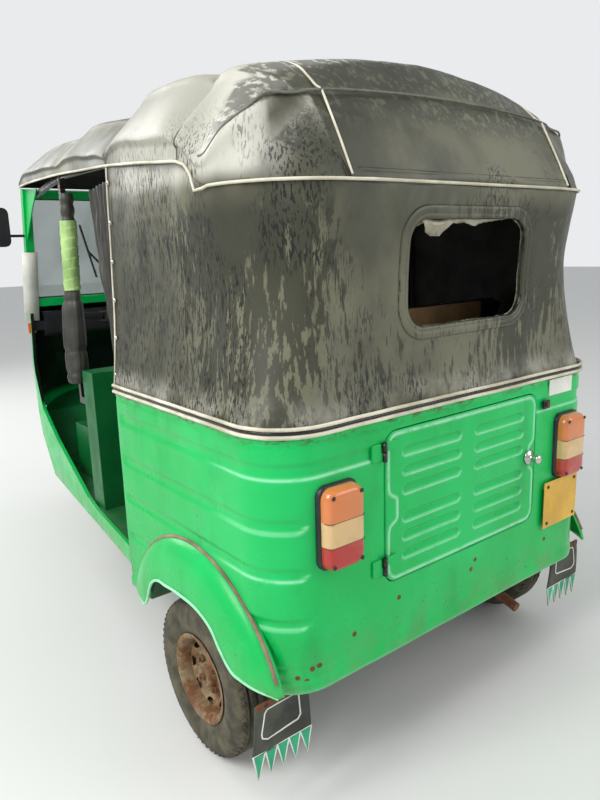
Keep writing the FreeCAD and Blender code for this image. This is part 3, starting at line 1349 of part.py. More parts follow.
def front_fork():
    """One-sided fork: crown on the column, leg beside the wheel, link, axle boss and shock."""
    pivot_y, pivot_z = LINK_PIVOT
    shoulder = V(FORK_X, steer_y(SHOULDER.z) + SHOULDER.y, SHOULDER.z)
    crown_top, crown_low = [steer_point(z) for z in CROWN_Z]
    leg = bent_rod([crown_top, crown_low, shoulder, V(FORK_X, pivot_y, pivot_z)], FORK_RADIUS, FORK_SIDES)
    leg = leg.cut(shaft(steer_point(COLUMN_BOTTOM_Z - FIT), steer_point(HANDLEBAR_Z), COLUMN_RADIUS + FIT))
    link = side_prism([(pivot_y + y, pivot_z + z) for y, z in LINK_PROFILE], around(FORK_X, LINK_THICKNESS))
    axle = V(FORK_X, FRONT_AXLE_Y, TYRE_RADIUS)
    boss = rod(axle - V(BOSS_OUT[0], 0, 0), axle + V(BOSS_OUT[1], 0, 0), LINK_EYE)
    bracket = box((-GUARD_BRACKET_HALF, GUARD_BRACKET_HALF), [FRONT_AXLE_Y + y for y in GUARD_BRACKET_Y],
                  GUARD_BRACKET_Z)
    crown = turned([(-GUARD_BRACKET_HALF - 1, 1), (-GUARD_BRACKET_HALF - 1, GUARD_RADIUS + FIT),
                    (GUARD_BRACKET_HALF + 1, GUARD_RADIUS + FIT), (GUARD_BRACKET_HALF + 1, 1)],
                   (FRONT_AXLE_Y, TYRE_RADIUS), *guard_span(), GUARD_FACETS)
    perch = box(around(FORK_X, PERCH_WIDTH), (pivot_y, pivot_y + PERCH_DEPTH), PERCH_Z)
    foot = V(FORK_X, FRONT_AXLE_Y + DAMPER_FOOT[0], DAMPER_FOOT[1])
    head = V(FORK_X, pivot_y + DAMPER_HEAD, PERCH_Z[0] + DAMPER_LAP)
    way = (head - foot).normalize()
    shock = [rod(foot, head, FRONT_DAMPER_RADIUS),
             rod(foot + way * SPRING_ENDS[0], head - way * SPRING_ENDS[1], FRONT_SPRING_RADIUS)]
    carried = joined([leg, link, boss, bracket.cut(crown), perch] + shock)
    return carried.cut(axle_hole((FORK_X - 2 * BOSS_LENGTH, 0), FRONT_AXLE_Y, AXLE_RADIUS + FIT))


def front_mudguard():
    """Guard over the front wheel, bevelled across and closed at its sides."""
    outer = [(-half, radius) for half, radius in GUARD_PROFILE]
    outer += [(half, radius) for half, radius in reversed(GUARD_PROFILE)]
    hem = GUARD_PROFILE[0][1]
    inner = [(half - GUARD_SHEET, radius if radius == hem else radius - GUARD_SHEET)
             for half, radius in GUARD_PROFILE]
    inner += [(-x, radius) for x, radius in reversed(inner)]
    return turned(outer + inner, (FRONT_AXLE_Y, TYRE_RADIUS), *guard_span(), GUARD_FACETS)


NODES = {
    "floor_pan": floor_pan,
    "chassis_frame": chassis_frame,
    "sills": sills,
    "front_cowl": front_cowl,
    "front_bulkhead": front_bulkhead,
    "windscreen_frame": windscreen_frame,
    "windscreen": windscreen,
    "dashboard": dashboard,
    "front_lamp_bodies": front_lamp_bodies,
    "front_lamp_lenses": front_lamp_lenses,
    "wiper": wiper,
    "mirrors": mirrors,
    "partition": partition,
    "driver_seat_base": driver_seat_base,
    "driver_seat": driver_seat,
    "driver_backrest": driver_backrest,
    "bench_base": bench_base,
    "engine_cover": engine_cover,
    "passenger_seat": passenger_seat,
    "passenger_backrest": passenger_backrest,
    "rear_tub": rear_tub,
    "wheel_houses": wheel_houses,
    "wings": wings,
    "engine_door": engine_door,
    "door_handle": door_handle,
    "tail_lamp_bases": tail_lamp_bases,
    "tail_lamp_lenses": tail_lamp_lenses,
    "number_plate": number_plate,
    "mud_flaps": mud_flaps,
    "trim_beading": trim_beading,
    "hood_skirt": hood_skirt,
    "hood_roof": hood_roof,
    "hood_frame": hood_frame,
    "curtain_rolls": curtain_rolls,
    "trailing_arms": trailing_arms,
    "rear_shocks": rear_shocks,
    "engine": engine,
    "drive_shafts": drive_shafts,
    "silencer": silencer,
    "steering_column": steering_column,
    "handlebar": handlebar,
    "grips": grips,
    "front_fork": front_fork,
    "front_mudguard": front_mudguard,
    "front_tyre": lambda: tyre(0, FRONT_AXLE_Y),
    "front_rim": lambda: rim(0, FRONT_AXLE_Y, 1),
    "rear_tyre_left": lambda: tyre(REAR_WHEEL_X, REAR_AXLE_Y),
    "rear_rim_left": lambda: rim(REAR_WHEEL_X, REAR_AXLE_Y, 1),
    "rear_tyre_right": lambda: tyre(-REAR_WHEEL_X, REAR_AXLE_Y),
    "rear_rim_right": lambda: rim(-REAR_WHEEL_X, REAR_AXLE_Y, -1),
}

os.makedirs("parts", exist_ok=True)
for name, make in NODES.items():
    make().exportStep("parts/" + name + ".step")
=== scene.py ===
import bmesh
import bpy
from math import atan2, cos, exp, hypot, pi, radians, sin, sqrt
from mathutils import Matrix, Vector, noise


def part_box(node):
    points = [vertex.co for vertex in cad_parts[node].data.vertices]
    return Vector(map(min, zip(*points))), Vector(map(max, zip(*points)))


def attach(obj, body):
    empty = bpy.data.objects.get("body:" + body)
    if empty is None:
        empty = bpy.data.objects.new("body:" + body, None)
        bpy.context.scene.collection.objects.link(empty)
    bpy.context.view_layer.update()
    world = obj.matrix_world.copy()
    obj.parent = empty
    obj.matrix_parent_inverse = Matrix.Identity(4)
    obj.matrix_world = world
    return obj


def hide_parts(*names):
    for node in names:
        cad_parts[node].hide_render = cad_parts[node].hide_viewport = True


# Looks of a three-wheeled auto rickshaw with a soft hood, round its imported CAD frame.
# Metres. The front faces -Y, the vehicle's left is +X, Z is up.

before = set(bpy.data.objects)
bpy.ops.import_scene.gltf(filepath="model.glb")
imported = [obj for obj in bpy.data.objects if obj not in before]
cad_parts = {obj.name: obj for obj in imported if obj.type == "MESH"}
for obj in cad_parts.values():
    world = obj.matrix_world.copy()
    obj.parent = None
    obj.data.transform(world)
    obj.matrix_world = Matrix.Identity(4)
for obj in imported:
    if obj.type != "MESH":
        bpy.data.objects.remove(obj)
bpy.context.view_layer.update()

# Places that the CAD gives
TUB_HALF, TUB_FRONT, TUB_REAR, TUB_CORNER = 0.610, 0.520, 1.272, 0.130
TUB_BOTTOM, TUB_TOP = 0.312, 0.914
TUB_TURN_X, TUB_TURN_Y = 0.480, 1.142
PLATE_BACK = 1.2845
WHEEL_X, AXLE_Z, REAR_AXLE_Y, FRONT_AXLE_Y = 0.575, 0.2075, 0.920, -1.080
ROLL_X, ROLL_Y = 0.492, -0.0643
ENGINE_BOX = ((-0.200, 0.828, 0.205), (0.160, 1.205, 0.668))
DAMPER = ((-0.096, -1.050, 0.244), (-0.096, -0.968, 0.434))


def colour(code):
    """Linear colour from the hex code of how it looks; anything else stays as it is."""
    if not isinstance(code, str):
        return code
    values = [int(code[i:i + 2], 16) / 255 for i in (0, 2, 4)]
    return [v / 12.92 if v <= 0.04045 else ((v + 0.055) / 1.055) ** 2.4 for v in values] + [1.0]


class Field:
    """A number or colour over a surface, whose sums become nodes."""

    def __init__(self, finish, socket):
        self.finish, self.socket = finish, socket

    def __add__(self, other):
        return self.finish.math("ADD", self, other)

    def __sub__(self, other):
        return self.finish.math("SUBTRACT", self, other)

    def __mul__(self, other):
        return self.finish.math("MULTIPLY", self, other)

    def step(self, low, high, start=0.0, end=1.0):
        """A soft rise from start to end as the field goes from low to high."""
        entries = {"Value": self, "From Min": low, "From Max": high, "To Min": start, "To Max": end}
        return self.finish.put("MapRange", "Result", entries, interpolation_type="SMOOTHSTEP")


class Finish:
    """A procedural material in the making, on Object coordinates."""

    def __init__(self, name, roughness=0.5, **sockets):
        self.material = bpy.data.materials.new(name)
        self.material.use_nodes = True
        self.tree = self.material.node_tree
        self.shader = self.tree.nodes["Principled BSDF"]
        for key, value in {"Roughness": roughness, **sockets}.items():
            self.shader.inputs[key.replace("_", " ")].default_value = value
        self.place = self.put("TexCoord", "Object")

    def put(self, kind, output, inputs=(), **settings):
        """The output of a new node whose inputs are set or linked."""
        node = self.tree.nodes.new("ShaderNode" + kind)
        for key, value in settings.items():
            setattr(node, key, value)
        for key, value in dict(inputs).items():
            if isinstance(value, Field):
                self.tree.links.new(value.socket, node.inputs[key])
            else:
                node.inputs[key].default_value = value
        return Field(self, node.outputs[output])

    def spread(self, stretch=(1, 1, 1), shift=0.0):
        entries = {"Vector": self.place, "Scale": stretch, "Location": (shift, shift, shift)}
        return self.put("Mapping", "Vector", entries)

    def noise(self, scale, stretch=(1, 1, 1), detail=5.0, roughness=0.6, shift=0.0):
        entries = {"Vector": self.spread(stretch, shift), "Scale": scale, "Detail": detail,
                   "Roughness": roughness}
        return self.put("TexNoise", "Fac", entries)

    def cells(self, scale):
        return self.put("TexVoronoi", "Distance", {"Vector": self.spread(), "Scale": scale})

    def axis(self, name):
        return self.put("SeparateXYZ", name, {"Vector": self.place})

    def facing(self, name):
        return self.put("SeparateXYZ", name, {"Vector": self.put("TexCoord", "Normal")})

    def math(self, kind, a, b):
        return self.put("Math", 0, {0: a, 1: b}, operation=kind)

    def mix(self, share, below, above):
        return self.put("Mix", 2, {0: share, 6: colour(below), 7: colour(above)}, data_type="RGBA")

    def wear(self, socket, value):
        self.tree.links.new(value.socket, self.shader.inputs[socket])

    def relief(self, *layers):
        """Bump from (height, strength, distance) layers."""
        below = {}
        for height, strength, distance in layers:
            inputs = {"Height": height, "Strength": strength, "Distance": distance, **below}
            below = {"Normal": self.put("Bump", "Normal", inputs)}
        self.wear("Normal", below["Normal"])


def enamel(name, fresh, faded, shade, roughness, lining=None):
    """Old gloss paint on pressed steel: fade, grime, chips, rust low down, pale rubbed paint and painted
    highlight on marked lips and edges, and painted shade on inward faces in the lining colour where it is
    given.
    """
    made = Finish(name, roughness, Specular_IOR_Level=0.32, Coat_Weight=0.12, Coat_Roughness=0.12)
    z = made.axis("Z")
    base = made.mix(made.noise(2.6, detail=6.0, roughness=0.62).step(0.38, 0.68), fresh, faded)
    base = made.mix(made.noise(7.0, (1, 1, 0.35), shift=3.0).step(0.50, 0.74) * 0.55, base, shade)
    chips = made.noise(95.0, detail=2.0, roughness=0.5).step(0.70, 0.74) * (z.step(0.62, 0.30) * 0.8 + 0.1)
    base = made.mix(chips, base, "5a3a22")
    dust = z.step(0.46, 0.24) * made.noise(14.0, shift=7.0).step(0.35, 0.70)
    base = made.mix(dust * 0.55, base, "7c7350")
    # Pale where the mesh marks it: partly rubbed paint, partly painted highlight on lit lips and edges.
    rub_and_highlight_share = made.put("Attribute", "Fac", attribute_name="rub_and_highlight")
    base = made.mix(rub_and_highlight_share * made.noise(26.0, shift=41.0).step(0.28, 0.50, 0.35, 0.9), base, "a9ecc4")
    edge = z.step(0.876, 0.902) * made.axis("Y").step(0.50, 0.54)
    edge = edge * made.noise(34.0, (1, 1, 2.5), detail=4.0, shift=53.0).step(0.50, 0.60)
    base = made.mix(edge * 0.8, base, "4c3420")
    # Painted shade: the lining colour darkens faces turned to the rear, high up, where the cowl's inside lies
    # in shade.
    if lining:
        base = made.mix(made.facing("Y").step(0.25, 0.35) * z.step(0.62, 0.66), base, lining)
    made.wear("Base Color", base)
    made.wear("Roughness", made.noise(11.0, shift=5.0).step(0.25, 0.75, roughness - 0.08, roughness + 0.16))
    made.relief((made.noise(5.0, detail=2.0), 0.10, 0.02), (made.noise(420.0, detail=2.0), 0.05, 0.001))
    return made.material


def hood_cloth(name, wet="26271c", dust_and_highlight="c9c7ba"):
    """Weathered vinyl cloth: haze, wet patches with ragged edges, black runs, and paler where it faces up and
    out to the sides: painted highlight, partly sun bleach.
    """
    made = Finish(name, 0.42, Specular_IOR_Level=0.5)
    y, z, facing_y, facing_z = made.axis("Y"), made.axis("Z"), made.facing("Y"), made.facing("Z")
    base = made.mix(made.noise(2.6, (1, 1, 0.7), detail=7.0).step(0.34, 0.64), "404031", "6c6b55")
    runs = made.noise(70.0, (1, 1, 0.17), detail=4.0, roughness=0.65) - 0.5
    ragged = made.noise(2.3, (1, 1, 0.45), detail=3.0, shift=11.0) + runs * 0.75
    patch = ragged.step(0.555, 0.585) * z.step(1.42, 1.34)
    base = made.mix(patch * 0.75, base, wet)
    dust = z.step(0.995, 0.925) * made.noise(8.0, shift=2.0).step(0.35, 0.6)
    base = made.mix(dust * 0.45, base, dust_and_highlight)
    dashes = made.noise(220.0, (1, 1, 0.20), detail=2.0, roughness=0.5, shift=5.0).step(0.535, 0.575)
    aside = made.math("ABSOLUTE", made.facing("X"), 0.0) * 0.55
    where = made.noise(4.2, (1, 1, 0.7), shift=23.0) + aside * 0.24
    dash_mask = dashes * where.step(0.50, 0.62) * z.step(1.62, 1.44, 0.0, 0.92)
    # Painted highlight, partly sun bleach: paler where the cloth faces up and out to the sides, more towards
    # the tail.
    up = aside + facing_z - facing_y * 0.45
    sheen_and_bleach_up = up + made.noise(7.0, detail=6.0, shift=31.0) * 0.5
    ahead = (y - made.noise(5.0, shift=17.0) * 0.16 - aside * 0.7).step(1.10, 0.92)
    highlight_and_bleach = sheen_and_bleach_up.step(0.72, 1.12) * z.step(1.40, 1.45) * (ahead * 0.75 + 0.25)
    # Painted highlight on the flanks near the tail, partly bleach.
    flank_highlight_and_bleach = aside.step(0.08, 0.26) * y.step(1.25, 1.14) * z.step(1.41, 1.45)
    flank_highlight_and_bleach = flank_highlight_and_bleach * made.noise(9.0, detail=6.0, shift=3.0).step(0.28, 0.50, 0.45, 1.0)
    pale = y.step(0.35, 0.78, 0.03, 0.56) + y.step(0.98, 1.06, 0.0, 0.34)
    base = made.mix(made.math("MAXIMUM", highlight_and_bleach, flank_highlight_and_bleach) * pale, base, dust_and_highlight)
    crest = (y + made.noise(20.0, detail=6.0, shift=61.0) * 0.07).step(1.075, 1.105)
    crest = crest * facing_z.step(0.42, 0.55)
    crest = crest * made.noise(60.0, (1, 0.4, 1), detail=4.0, shift=8.0).step(0.62, 0.50)
    base = made.mix(crest * 0.7, base, wet)
    made.wear("Base Color", made.mix(dash_mask, base, "0e0e0b"))
    dull = made.noise(6.0, (1, 1, 0.4), shift=4.0).step(0.30, 0.72, 0.34, 0.56)
    made.wear("Roughness", dull - patch * 0.12)
    made.relief((made.noise(16.0, (1, 1, 0.6), detail=3.0), 0.12, 0.006), (made.cells(700.0), 0.08, 0.0006))
    return made.material


def grained(name, dark, light, roughness, grain=500.0, depth=0.12, mottle=8.0, **sockets):
    """Plain colour with mottling and a fine grain: vinyl, rubber, plastic, wood."""
    made = Finish(name, roughness, **sockets)
    made.wear("Base Color", made.mix(made.noise(mottle, detail=6.0).step(0.34, 0.68), dark, light))
    dull = made.noise(mottle * 2, shift=9.0)
    made.wear("Roughness", dull.step(0.3, 0.7, roughness - 0.08, roughness + 0.12))
    made.relief((made.noise(mottle * 1.7, detail=3.0), depth, 0.004), (made.cells(grain), depth, 0.0008))
    return made.material


def rusted(name, paint, rust, light, amount, roughness=0.75):
    """Steel whose paint has given way to rust and dried mud."""
    made = Finish(name, roughness)
    patch = made.noise(13.0, detail=8.0, roughness=0.68).step(0.62 - amount * 0.3, 0.72 - amount * 0.2)
    scale = made.noise(60.0, shift=6.0).step(0.45, 0.70)
    made.wear("Base Color", made.mix(scale * 0.6, made.mix(patch, paint, rust), light))
    made.wear("Roughness", patch.step(0.0, 1.0, roughness - 0.25, roughness + 0.1))
    made.relief((made.noise(90.0, detail=6.0), 0.35, 0.002), (patch, 0.2, 0.001))
    return made.material


def tail_lens():
    """Amber, clear and red bands of one moulded lens."""
    made = Finish("lamp_lens", 0.12, Transmission_Weight=0.22, IOR=1.49, Coat_Weight=0.5, Coat_Roughness=0.05)
    low, high = (made.axis("Z").step(band - 0.0005, band + 0.0005) for band in LENS_BANDS)
    base = made.mix(low, "c5291c", made.mix(high, "f0c98c", "ee8a48"))
    made.wear("Base Color", made.mix(made.noise(18.0).step(0.45, 0.75) * 0.35, base, "b98f66"))
    ribs = made.put("TexWave", "Fac", {"Vector": made.place, "Scale": 34.0}, bands_direction="X",
                    wave_profile="SIN")
    made.relief((ribs, 0.25, 0.0008), (made.noise(60.0), 0.08, 0.001))
    return made.material


def glass(name, tint, roughness, weight):
    made = Finish(name, roughness, Transmission_Weight=weight, IOR=1.45, Specular_IOR_Level=0.5)
    film = made.noise(5.0, (1, 1, 0.5), detail=6.0).step(0.35, 0.75)
    made.wear("Base Color", made.mix(film, tint, "aeb8b0"))
    made.wear("Roughness", film.step(0.0, 1.0, roughness, roughness + 0.12))
    return made.material


GREEN = ("04b552", "0fc262", "078a3f", 0.30)
LENS_BANDS = (0.661, 0.716)
ENAMEL = enamel("green_enamel", *GREEN)
# Near-black 101613 is painted shade on the cowl's inward faces.
COWL = enamel("cowl_enamel", *GREEN, "101613")
# A darker copy of the body green for inner parts and inner sides: painted shade.
SHADED_INNER = enamel("shaded_inner_enamel", "05602c", "087338", "043a1b", 0.42)
CLOTH = hood_cloth("hood_vinyl")
CORD = grained("seam_cord", "4a4a3f", "77776a", 0.5, 700.0)
PERISHED = grained("perished_rubber", "6e5747", "a48a74", 0.7, 300.0)
PAINT_WHITE = grained("white_line", "d9d9cf", "f0f0e8", 0.6, 400.0, 0.05)
TEETH_GREEN = grained("flap_green", "1f8f66", "35b585", 0.6, 300.0)
REFLECTOR = grained("reflector", "c8481c", "e2652c", 0.25, 200.0)
RUST = rusted("bare_rust", "4a2f1e", "6b3f22", "8c5a33", 0.9)
FILM = grained("torn_film", "7d7862", "b7b19c", 0.3, 300.0, 0.08, Specular_IOR_Level=0.6)
LINING = grained("hood_lining", "1a1a16", "262620", 0.8, 900.0)
ROLL_VINYL = grained("curtain_vinyl", "2c2b26", "4a4840", 0.5, 600.0)
OLD_CURTAIN = grained("old_curtain", "1a1915", "35332b", 0.55, 600.0)
SEAT_VINYL = grained("seat_vinyl", "161513", "2a2825", 0.42, 420.0, Specular_IOR_Level=0.5)
PIPING = grained("cream_piping", "b9b39a", "e6e1cc", 0.5, 800.0)
TYRE_RUBBER = grained("tyre_rubber", "3a372e", "625c49", 0.85, 350.0, 0.2, 16.0)
FLAP_RUBBER = grained("flap_rubber", "33342f", "55574c", 0.8, 400.0)
BLACK_PLASTIC = grained("black_plastic", "17171a", "26262a", 0.45, 900.0, 0.06)
GRIP_RUBBER = grained("grip_rubber", "131313", "242422", 0.8, 500.0)
PLYWOOD = grained("seat_board", "8a6a44", "b08a5c", 0.7, 60.0)
WRAP = grained("green_tape", "86ad62", "b8da8c", 0.55, 300.0)
PLATE_YELLOW = grained("plate_yellow", "c9992c", "e2b43a", 0.35, 900.0, 0.05)
BLANK_LABEL = grained("blank_label", "cfd0c4", "ecece0", 0.45, 900.0, 0.04)
BLACK_STEEL = rusted("black_steel", "1b1b1a", "4a3322", "2b2a28", 0.25, 0.5)
RUSTY_STEEL = rusted("rusty_steel", "4b3a2c", "6b4027", "8a6a4c", 0.9)
RIM_STEEL = rusted("rusty_rim", "7d6b4e", "6a4427", "a38a62", 0.80)
CHASSIS = rusted("chassis_paint", "232320", "4f3524", "3c3a33", 0.4, 0.65)
ALLOY = rusted("engine_alloy", "6d6c66", "4a4238", "8b8a84", 0.3, 0.5)
CHROME = grained("dull_chrome", "a9aaa6", "d8d8d2", 0.22, 900.0, 0.03, Metallic=1.0)
LENS = tail_lens()
HEADLAMP_GLASS = glass("headlamp_glass", "dfe6e2", 0.05, 0.85)
SCREEN_GLASS = glass("screen_glass", "cfd8d4", 0.02, 0.92)


def xyz(x, y, z):
    return Vector((x, y, z))


def ripple(x, y, z):
    """Smooth chance value at a place, the same each run."""
    return noise.noise(xyz(x, y, z))


def share_of(value):
    return max(0.0, min(1.0, value))


def placed(name, data):
    """An object at the origin, in the scene."""
    made = bpy.data.objects.new(name, data)
    bpy.context.scene.collection.objects.link(made)
    return made


def smoothed(made, smooth=True):
    made.data.polygons.foreach_set("use_smooth", [smooth] * len(made.data.polygons))
    return made


def piece(name, points, faces, material, smooth=True):
    """An object whose mesh holds its place."""
    mesh = bpy.data.meshes.new(name)
    mesh.from_pydata([tuple(p) for p in points], [], faces)
    mesh.materials.append(material)
    return smoothed(placed(name, mesh), smooth)


def woven(name, rows, material, round_rows=False, round_all=False):
    """A surface through rows of points; its faces look to the left of the rows' way."""
    width = len(rows[0])
    faces = []
    for i in range(len(rows) - (not round_all)):
        for j in range(width - (not round_rows)):
            a, b = i * width + j, i * width + (j + 1) % width
            c, d = (b + width, a + width) if i + 1 < len(rows) else ((j + 1) % width, j)
            faces.append((a, b, c, d))
    return piece(name, [p for row in rows for p in row], faces, material)


def outward(made):
    """Turns all faces to the outside."""
    work = bmesh.new()
    work.from_mesh(made.data)
    bmesh.ops.recalc_face_normals(work, faces=work.faces)
    work.to_mesh(made.data)
    work.free()
    return made


def walled(made, thickness, offset=-1.0, lining=None):
    """Gives a sheet its thickness, and its inner side a lining."""
    solid = made.modifiers.new("wall", "SOLIDIFY")
    solid.thickness, solid.offset = thickness, offset
    if lining:
        made.data.materials.append(lining)
        solid.material_offset = 1
    return made


def baked(made):
    """The mesh that an object's modifiers or bevel give."""
    graph = bpy.context.evaluated_depsgraph_get()
    return bpy.data.meshes.new_from_object(made.evaluated_get(graph))


def settled(made):
    """Bakes the modifiers into a plain mesh."""
    old, mesh = made.data, baked(made)
    made.modifiers.clear()
    made.data = mesh
    bpy.data.meshes.remove(old)
    return made


def trimmed(made, depth, snap):
    """Cuts away where depth is above 0 and draws the new edge onto the cut's line."""
    work = bmesh.new()
    work.from_mesh(made.data)
    inner = {v for v in work.verts if depth(v.co) > 0}
    gone = [f for f in work.faces if all(v in inner for v in f.verts)]
    bmesh.ops.delete(work, geom=gone, context="FACES")
    loose = [v for v in work.verts if not v.link_faces]
    bmesh.ops.delete(work, geom=loose, context="VERTS")
    for v in work.verts:
        if v in inner:
            v.co = snap(v.co)
    work.to_mesh(made.data)
    work.free()
    return made


def spline(points, count):
    """Points evenly in parameter on a smooth line through the given ones."""
    points = [Vector(p) for p in points]
    last = len(points) - 1
    line = []
    for number in range(count):
        t = number * last / (count - 1)
        i = min(int(t), last - 1)
        t -= i
        a, b, c, d = (points[max(0, min(last, k))] for k in range(i - 1, i + 3))
        line.append(0.5 * (2 * b + (c - a) * t + (2 * a - 5 * b + 4 * c - d) * t * t
                           + (3 * b - a - 3 * c + d) * t ** 3))
    return line


def tube(name, points, radius, material, closed=False, sides=4):
    """Round bar along a line, as a plain mesh."""
    curve = bpy.data.curves.new(name, "CURVE")
    curve.dimensions = "3D"
    line = curve.splines.new("POLY")
    line.points.add(len(points) - 1)
    for place, point in zip(line.points, points):
        place.co = (*point, 1)
    line.use_cyclic_u = closed
    curve.bevel_depth, curve.bevel_resolution, curve.use_fill_caps = radius, sides, not closed
    bent = placed(name + ".line", curve)
    mesh = baked(bent)
    bpy.data.objects.remove(bent)
    mesh.materials.clear()
    mesh.materials.append(material)
    return smoothed(placed(name, mesh))


def joined(name, pieces):
    """One piece from several of the same body."""
    work, materials = bmesh.new(), []
    for part in pieces:
        start = len(work.faces)
        work.from_mesh(part.data)
        work.faces.ensure_lookup_table()
        own = list(part.data.materials)
        materials += [material for material in own if material not in materials]
        known = [materials.index(material) for material in own]
        for face in work.faces[start:]:
            face.material_index = known[face.material_index]
        bpy.data.objects.remove(part)
    mesh = bpy.data.meshes.new(name)
    work.to_mesh(mesh)
    work.free()
    for material in materials:
        mesh.materials.append(material)
    return placed(name, mesh)


def lathe(name, profile, centre, material, steps=96, axis="X"):
    """Turns (along, radius) points about an axle through the centre."""
    order = {"X": (0, 1, 2), "Y": (1, 0, 2), "Z": (1, 2, 0)}[axis]
    rows = []
    for angle in (radians(360 * number / steps) for number in range(steps)):
        turned = [(t, r * cos(angle), r * sin(angle)) for t, r in profile]
        rows.append([centre + Vector([p[k] for k in order]) for p in turned])
    return woven(name, rows, material, round_all=True)


def put_on(made, body, slot, *nodes):
    """Rides a finished piece on its body, in place of CAD nodes."""
    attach(made, body)
    if nodes:
        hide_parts(*nodes)
    return made


def mirrored(points):
    return [xyz(-p[0], p[1], p[2]) for p in points]


def repeated(name, template, places, material, size=1.0, turn=0.0, seed=1):
    """Copies of a small form on (place, way out) pairs, by Geometry Nodes, as one plain mesh."""
    host = piece(name, [p for p, _ in places], [], material)
    facing = host.data.attributes.new("facing", "FLOAT_VECTOR", "POINT")
    for item, (_, way) in zip(facing.data, places):
        item.vector = way
    tree = bpy.data.node_groups.new(name + "_nodes", "GeometryNodeTree")
    wanted = {"Geometry": ("Geometry", None), "Form": ("Object", template), "Size": ("Float", size),
              "Turn": ("Float", turn), "Seed": ("Int", seed), "Finish": ("Material", material)}
    tree.interface.new_socket("Geometry", in_out="OUTPUT", socket_type="NodeSocketGeometry")
    sockets = {key: tree.interface.new_socket(key, in_out="INPUT", socket_type="NodeSocket" + kind)
               for key, (kind, _) in wanted.items()}
    kinds = {"start": "NodeGroupInput", "end": "NodeGroupOutput", "field": "GeometryNodeInputNamedAttribute",
             "form": "GeometryNodeObjectInfo", "stand": "FunctionNodeAlignRotationToVector",
             "low": "ShaderNodeMath", "spin": "FunctionNodeRotateRotation", "about": "ShaderNodeCombineXYZ",
             "chance": "FunctionNodeRandomValue",
             "copies": "GeometryNodeInstanceOnPoints", "real": "GeometryNodeRealizeInstances",
             "finish": "GeometryNodeSetMaterial"}
    nodes = {key: tree.nodes.new(kind) for key, kind in kinds.items()}
    nodes["field"].data_type, nodes["field"].inputs["Name"].default_value = "FLOAT_VECTOR", "facing"
    nodes["low"].operation, nodes["low"].inputs[1].default_value = "MULTIPLY", -1.0
    nodes["spin"].rotation_space = "LOCAL"
    for source, output, target, into in (
            ("start", "Form", "form", "Object"), ("field", "Attribute", "stand", "Vector"),
            ("start", "Turn", "low", 0), ("low", 0, "chance", 2), ("start", "Turn", "chance", 3),
            ("start", "Seed", "chance", "Seed"), ("chance", 1, "about", "Z"),
            ("stand", "Rotation", "spin", "Rotation"), ("about", 0, "spin", "Rotate By"),
            ("start", "Geometry", "copies", "Points"), ("form", "Geometry", "copies", "Instance"),
            ("spin", "Rotation", "copies", "Rotation"), ("start", "Size", "copies", "Scale"),
            ("copies", "Instances", "real", "Geometry"), ("real", "Geometry", "finish", "Geometry"),
            ("start", "Finish", "finish", "Material"), ("finish", "Geometry", "end", "Geometry")):
        tree.links.new(nodes[source].outputs[output], nodes[target].inputs[into])
    grown = host.modifiers.new("copies", "NODES")
    grown.node_group = tree
    for key in list(wanted)[1:]:
        grown[sockets[key].identifier] = wanted[key][1]
    settled(host)
    bpy.data.objects.remove(template)
    return host


def form(name, profile, sides, smooth=True):
    """Small turned form standing on Z, such as a stud, screw or nut."""
    angles = [2 * pi * k / sides for k in range(sides)]
    rows = [[xyz(radius * cos(a), radius * sin(a), height) for a in angles] for height, radius in profile]
    return smoothed(outward(woven(name, rows, CHROME, round_rows=True)), smooth)


def grid(levels, steps, place):
    """Rows of points from a rule that takes the row's number and the step's in it."""
    return [[place(level, step) for step in range(steps)] for level in range(levels)]


def block(name, low, high, material, edge=0.0015, rounds=2):
    """Box with softened edges."""
    corners = [(x, y, z) for x in (low[0], high[0]) for y in (low[1], high[1]) for z in (low[2], high[2])]
    faces = [(0, 1, 3, 2), (4, 6, 7, 5), (0, 4, 5, 1), (2, 3, 7, 6), (0, 2, 6, 4), (1, 5, 7, 3)]
    made = outward(piece(name, corners, faces, material, smooth=False))
    soft = made.modifiers.new("edge", "BEVEL")
    soft.width, soft.segments = edge, rounds
    return settled(made)


def rub_and_highlight(made, share):
    """Marks how pale each corner's paint is: partly rubbed paint, partly painted highlight on lit lips and
    edges.
    """
    layer = made.data.attributes.new("rub_and_highlight", "FLOAT", "POINT")
    layer.data.foreach_set("value", [share(v.co) for v in made.data.vertices])
    return made


def flanged(made, move):
    """Turns the open edges back by a move, as a pressing's are."""
    work = bmesh.new()
    work.from_mesh(made.data)
    rim = [e for e in work.edges if e.is_boundary]
    turned = bmesh.ops.extrude_edge_only(work, edges=rim)["geom"]
    for v in turned:
        if isinstance(v, bmesh.types.BMVert):
            v.co += Vector(move)
    work.to_mesh(made.data)
    work.free()
    return made


def smooth_step(value, low, high):
    t = share_of((value - low) / (high - low))
    return t * t * (3 - 2 * t)


def rounded_depth(x, z, half, low, high, corner):
    """How far inside a round-cornered rectangle a place is."""
    across = abs(x) - (half - corner)
    up = abs(z - (low + high) / 2) - ((high - low) / 2 - corner)
    return corner - hypot(max(across, 0), max(up, 0)) - min(max(across, up), 0)


